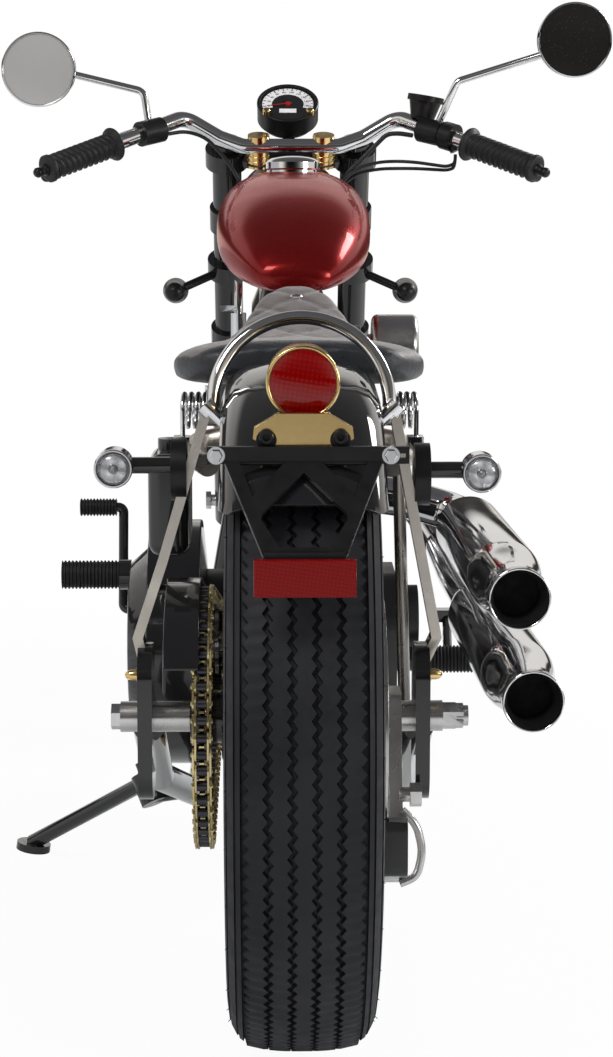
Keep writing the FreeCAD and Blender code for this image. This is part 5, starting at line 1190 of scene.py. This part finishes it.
class MakeLamps(bpy.types.Operator):
    """Finishes the tail lamp, the reflector and the indicators."""
    bl_idname = "chopper.lamps"
    bl_label = "Lamps"

    def execute(self, context):
        refined("tail_lamp", "bright_brass", 0.8)
        lens = turned("stop_lens", "chassis", "red_lens", 50.0,
                      [(-7, 0), (-7, 27.4), (0.2, 27.4), (0.4, 29.4), (1.6, 29.2), (3.6, 25), (5.4, 16),
                       (6.2, 7), (6.4, 0)], [TAIL_LAMP], BACK, 64)
        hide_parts("tail_lamp_lens")
        turned("lamp_ring", "chassis", "bright_brass", 60.0,
               [(-1, 32.8), (1.4, 32.8), (2.8, 32.0), (3.2, 30.9), (2.4, 29.8), (-1, 29.6)],
               [TAIL_LAMP], BACK, 72, True)
        refined("rear_reflector", "red_reflector", 1.0)
        refined("rear_indicators", "frame_enamel", 0.8,
                lambda p: np.abs(p[:, 0] - INDICATORS_X) > INDICATOR_ARM, "chrome")
        refined("side_reflectors", "black_plastic", 1.0)
        turned("indicator_rims", "chassis", "chrome", 50.0,
               [(-3, 18.5), (1.6, 18.5), (3.2, 17.6), (3.2, 16.4), (0.6, 15.6), (-3, 15.6)],
               REAR_INDICATORS, BACK, 40, True)
        turned("indicator_lenses", "chassis", "clear_lens", 60.0,
               [(0.3, 0), (0.3, 15.4), (1.0, 15.4), (4.2, 12.4), (6.4, 7), (7.0, 0)],
               REAR_INDICATORS, BACK, 40)
        turned("indicator_bulbs", "chassis", "dark_chrome", 60.0,
               [(0.1, 0), (0.1, 4.6), (2.4, 4.2), (4.0, 2.4), (4.4, 0)], REAR_INDICATORS, BACK, 20)
        turned("indicator_noses", "front_fork", "black_plastic", 60.0,
               [(0.2, 0), (0.2, 14), (4, 13.2), (8, 10.4), (11, 6), (12.2, 0)], FRONT_INDICATORS, BACK, 32)
        return {"FINISHED"}


class MakeFasteners(bpy.types.Operator):
    """Makes the bolts of plate and lamp bracket, the brass caps of the axle plates and the peg rubbers."""
    bl_idname = "chopper.fasteners"
    bl_label = "Fasteners and pegs"

    def execute(self, context):
        bright = Shape()
        for place in PLATE_BOLTS:
            bolt(bright, place, BACK, 10.0, 5.0)
        bright.piece("plate_bolts", "chassis", "chrome", 30.0)
        dark = Shape()
        for x in (-32.3, 32.3):
            dark.turn([(0, 0), (0, 8.6), (11.4, 8.6), (11.4, 0)], (x, -200.3, 614), BACK, 28)
            bolt(dark, (x, -211.8, 617), BACK, 11.5, 7.0, True)
        dark.piece("lamp_bolts", "chassis", "black_plastic", 35.0)
        caps = Shape()
        dome = [(0, 0), (0, 6.4), (1.4, 6.4), (1.4, 5.2), (6, 5.2), (9, 4.4), (11.4, 2.6), (12.4, 0)]
        caps.turn(dome, (-157.1, -20, 365.4), (-1, 0, 0), 24)
        caps.turn(dome, (124.1, -20, 365.5), RIGHT, 24)
        caps.piece("plate_caps", "chassis", "bright_brass", 35.0)
        pegs = Shape()
        for start, end, radius, pitch in PEGS:
            way = np.subtract(end, start)
            length = np.linalg.norm(way)
            along = np.linspace(0, length, int(length / pitch * 8))
            ribs = radius + 1.0 + 0.9 * np.clip(1.6 * np.cos(2 * np.pi * along / pitch), -1, 1)
            ends = [(0, radius - 0.6)], np.stack([along, ribs], -1), [(length, radius), (length, 0)]
            pegs.turn(np.concatenate(ends), start, way, 28)
        pegs.piece("peg_rubbers", "chassis", "grip_rubber", 50.0)
        return {"FINISHED"}


# Stage

CAMERA_PLACE = (-27.6, -2326.0, 851.0)
CAMERA_PITCH = math.radians(-8.47)
CAMERA_YAW = math.radians(0.82)
CAMERA_FOCUS = 2442.0
PHOTO_HEIGHT = 1057.0
FLOOR_RADIUS = 9
FLOOR_DROP = 0.0005
BEIGE = (1.0, 0.93, 0.84)
CREAM = (1.0, 0.97, 0.93)

# How white the floor is near and far, and the metres between which that changes
FLOOR_FADE = (0.95, 1.0, 0.7, 1.7)

# How bright the room is behind the camera and elsewhere, and the directions' Y between which that changes
DARK_END = (0.10, 1.0, -0.97, -0.62)

# The lamps' names, places, aims, widths and watts
LAMPS = (("Key", (-2.2, -2.6, 3.2), (0, -0.4, 0.5), 1.6, 70.0),
         ("Rim", (2.4, 1.8, 2.8), (0, 0, 0.6), 1.4, 60.0),
         ("Side", (2.8, -1.8, 1.6), (0, -0.4, 0.5), 1.2, 34.0))

# What gloss sees of the room: height as a share, brightness and tint of each band
ROOM_BANDS = ((0.34, 0.55, BEIGE), (0.42, 1.0, BEIGE), (0.48, 0.95, BEIGE), (0.495, 0.04, BEIGE),
              (0.54, 0.03, BEIGE), (0.56, 0.80, CREAM), (0.72, 0.88, CREAM), (0.78, 0.14, CREAM))


class MakeStage(bpy.types.Operator):
    """Sets the camera, the lamps, the floor and the white surround."""
    bl_idname = "chopper.stage"
    bl_label = "Stage"

    def execute(self, context):
        look = context.scene.chopper_stage
        data = bpy.data.cameras.new("Camera")
        data.sensor_width = 36.0
        data.lens = CAMERA_FOCUS / PHOTO_HEIGHT * data.sensor_width
        camera = bpy.data.objects.new("Camera", data)
        context.scene.collection.objects.link(camera)
        turn = Matrix.Rotation(-LEAN, 3, "Y") @ Matrix.Rotation(-CAMERA_YAW, 3, "Z")
        turn = turn @ Matrix.Rotation(math.radians(90) + CAMERA_PITCH, 3, "X")
        camera.matrix_world = Matrix.Translation(Vector(placed(CAMERA_PLACE))) @ turn.to_4x4()
        context.scene.camera = camera
        self.lamps(context)
        self.floor(context, look)
        self.surround(context, look)
        return {"FINISHED"}

    def lamps(self, context):
        """Rectangular lamps, 0.7 as high as they are wide, turned to what they light."""
        for name, place, aim, size, power in LAMPS:
            data = bpy.data.lights.new(name, "AREA")
            data.shape = "RECTANGLE"
            data.size = size
            data.size_y = size * 0.7
            data.energy = power
            lamp = bpy.data.objects.new(name, data)
            lamp.location = place
            lamp.rotation_euler = (Vector(aim) - Vector(place)).to_track_quat("-Z", "Y").to_euler()
            context.scene.collection.objects.link(lamp)

    def floor(self, context, look):
        """A disc of floor that is white to the camera and keeps the shadow faintly."""
        mesh = bpy.data.meshes.new("floor")
        angle = 2 * np.pi * np.arange(64) / 64
        ring = np.stack([FLOOR_RADIUS * np.cos(angle), FLOOR_RADIUS * np.sin(angle), 0 * angle], -1)
        mesh.from_pydata(ring.tolist(), [], [list(range(64))])
        floor = bpy.data.objects.new("floor", mesh)
        floor.location = (0, 0, -FLOOR_DROP)
        context.scene.collection.objects.link(floor)
        made = Finish("white_floor", Base_Color=(0.8, 0.8, 0.8, 1), Roughness=0.9)
        away = made.node("ShaderNodeVectorMath", {0: made.place}, operation="LENGTH").outputs["Value"]
        fade = made.spread(away, *FLOOR_FADE, interpolation_type="SMOOTHSTEP")
        rays = made.node("ShaderNodeLightPath").outputs
        shown = made.node("ShaderNodeMath", {0: rays["Is Camera Ray"], 1: fade}, operation="MULTIPLY")
        glow = made.node("ShaderNodeEmission", {"Color": (look.backdrop,) * 3 + (1,)}).outputs[0]
        mix = made.node("ShaderNodeMixShader", {0: shown.outputs[0], 1: made.shader.outputs[0], 2: glow})
        made.put(made.tree.nodes["Material Output"].inputs[0], mix.outputs[0])
        mesh.materials.append(made.material)

    def surround(self, context, look):
        """White to the camera and clear glass; to gloss, a white room with a dark ceiling and a dark end."""
        world = bpy.data.worlds.new("studio")
        context.scene.world = world
        world.use_nodes = True
        world.node_tree.nodes.clear()
        room = Nodes(world.node_tree)
        rays = room.node("ShaderNodeLightPath").outputs
        place = room.node("ShaderNodeTexCoord").outputs["Generated"]
        split = room.node("ShaderNodeSeparateXYZ", {0: place}).outputs
        bands = room.node("ShaderNodeValToRGB", {"Fac": room.spread(split["Z"], 0, 1, -1, 1)})
        ramp = bands.color_ramp
        ramp.elements[0].position = 0.0
        ramp.elements[0].color = (0.42, 0.39, 0.35, 1)
        ramp.elements[1].position = 1.0
        ramp.elements[1].color = (0.09, 0.09, 0.10, 1)
        for position, value, tint in ROOM_BANDS:
            ramp.elements.new(position).color = (*(value * part for part in tint), 1)
        end = room.spread(split["Y"], *DARK_END, interpolation_type="SMOOTHSTEP")

        def light(colour, strength):
            return room.node("ShaderNodeBackground", {"Color": colour, "Strength": strength}).outputs[0]

        fill = light((0.95, 0.97, 1.0, 1), look.daylight)
        gloss = light(bands.outputs["Color"], end)
        white = light((1, 1, 1, 1), look.backdrop)
        mixed = room.node("ShaderNodeMixShader", {0: rays["Is Glossy Ray"], 1: fill, 2: gloss}).outputs[0]
        seen = room.node("ShaderNodeMath", {0: rays["Is Camera Ray"], 1: rays["Is Transmission Ray"]},
                         operation="MAXIMUM").outputs[0]
        final = room.node("ShaderNodeMixShader", {0: seen, 1: mixed, 2: white}).outputs[0]
        room.node("ShaderNodeOutputWorld", {0: final})


OPERATORS = (MakeStage, MakeTyres, MakeWheels, MakeChain, MakeTank, MakeBodywork, MakeSeat, MakeEngine,
             MakeExhaust, MakeFrontEnd, MakeLamps, MakeFasteners)
GROUPS = {"chopper_colours": FinishColours, "chopper_tyres": TyreSizes, "chopper_seat": SeatSizes,
          "chopper_stage": StageLook}


class ChopperPanel(bpy.types.Panel):
    """Lists the pieces and their sizes."""
    bl_idname = "VIEW3D_PT_chopper"
    bl_label = "Chopper"
    bl_space_type = "VIEW_3D"
    bl_region_type = "UI"
    bl_category = "Chopper"

    def draw(self, context):
        for name in GROUPS:
            group = getattr(context.scene, name)
            box = self.layout.box()
            for size in group.__annotations__:
                box.prop(group, size)
        for operator in OPERATORS:
            self.layout.operator(operator.bl_idname)


CLASSES = (*GROUPS.values(), *OPERATORS, ChopperPanel)


def register():
    for kind in CLASSES:
        bpy.utils.register_class(kind)
    for name, kind in GROUPS.items():
        setattr(bpy.types.Scene, name, PointerProperty(type=kind))


def unregister():
    for name in reversed(GROUPS):
        delattr(bpy.types.Scene, name)
    for kind in reversed(CLASSES):
        bpy.utils.unregister_class(kind)


def main():
    register()
    bpy.context.scene.view_settings.view_transform = "Standard"
    for operator in OPERATORS:
        group, name = operator.bl_idname.split(".")
        getattr(getattr(bpy.ops, group), name)()


if __name__ == "__main__":
    main()
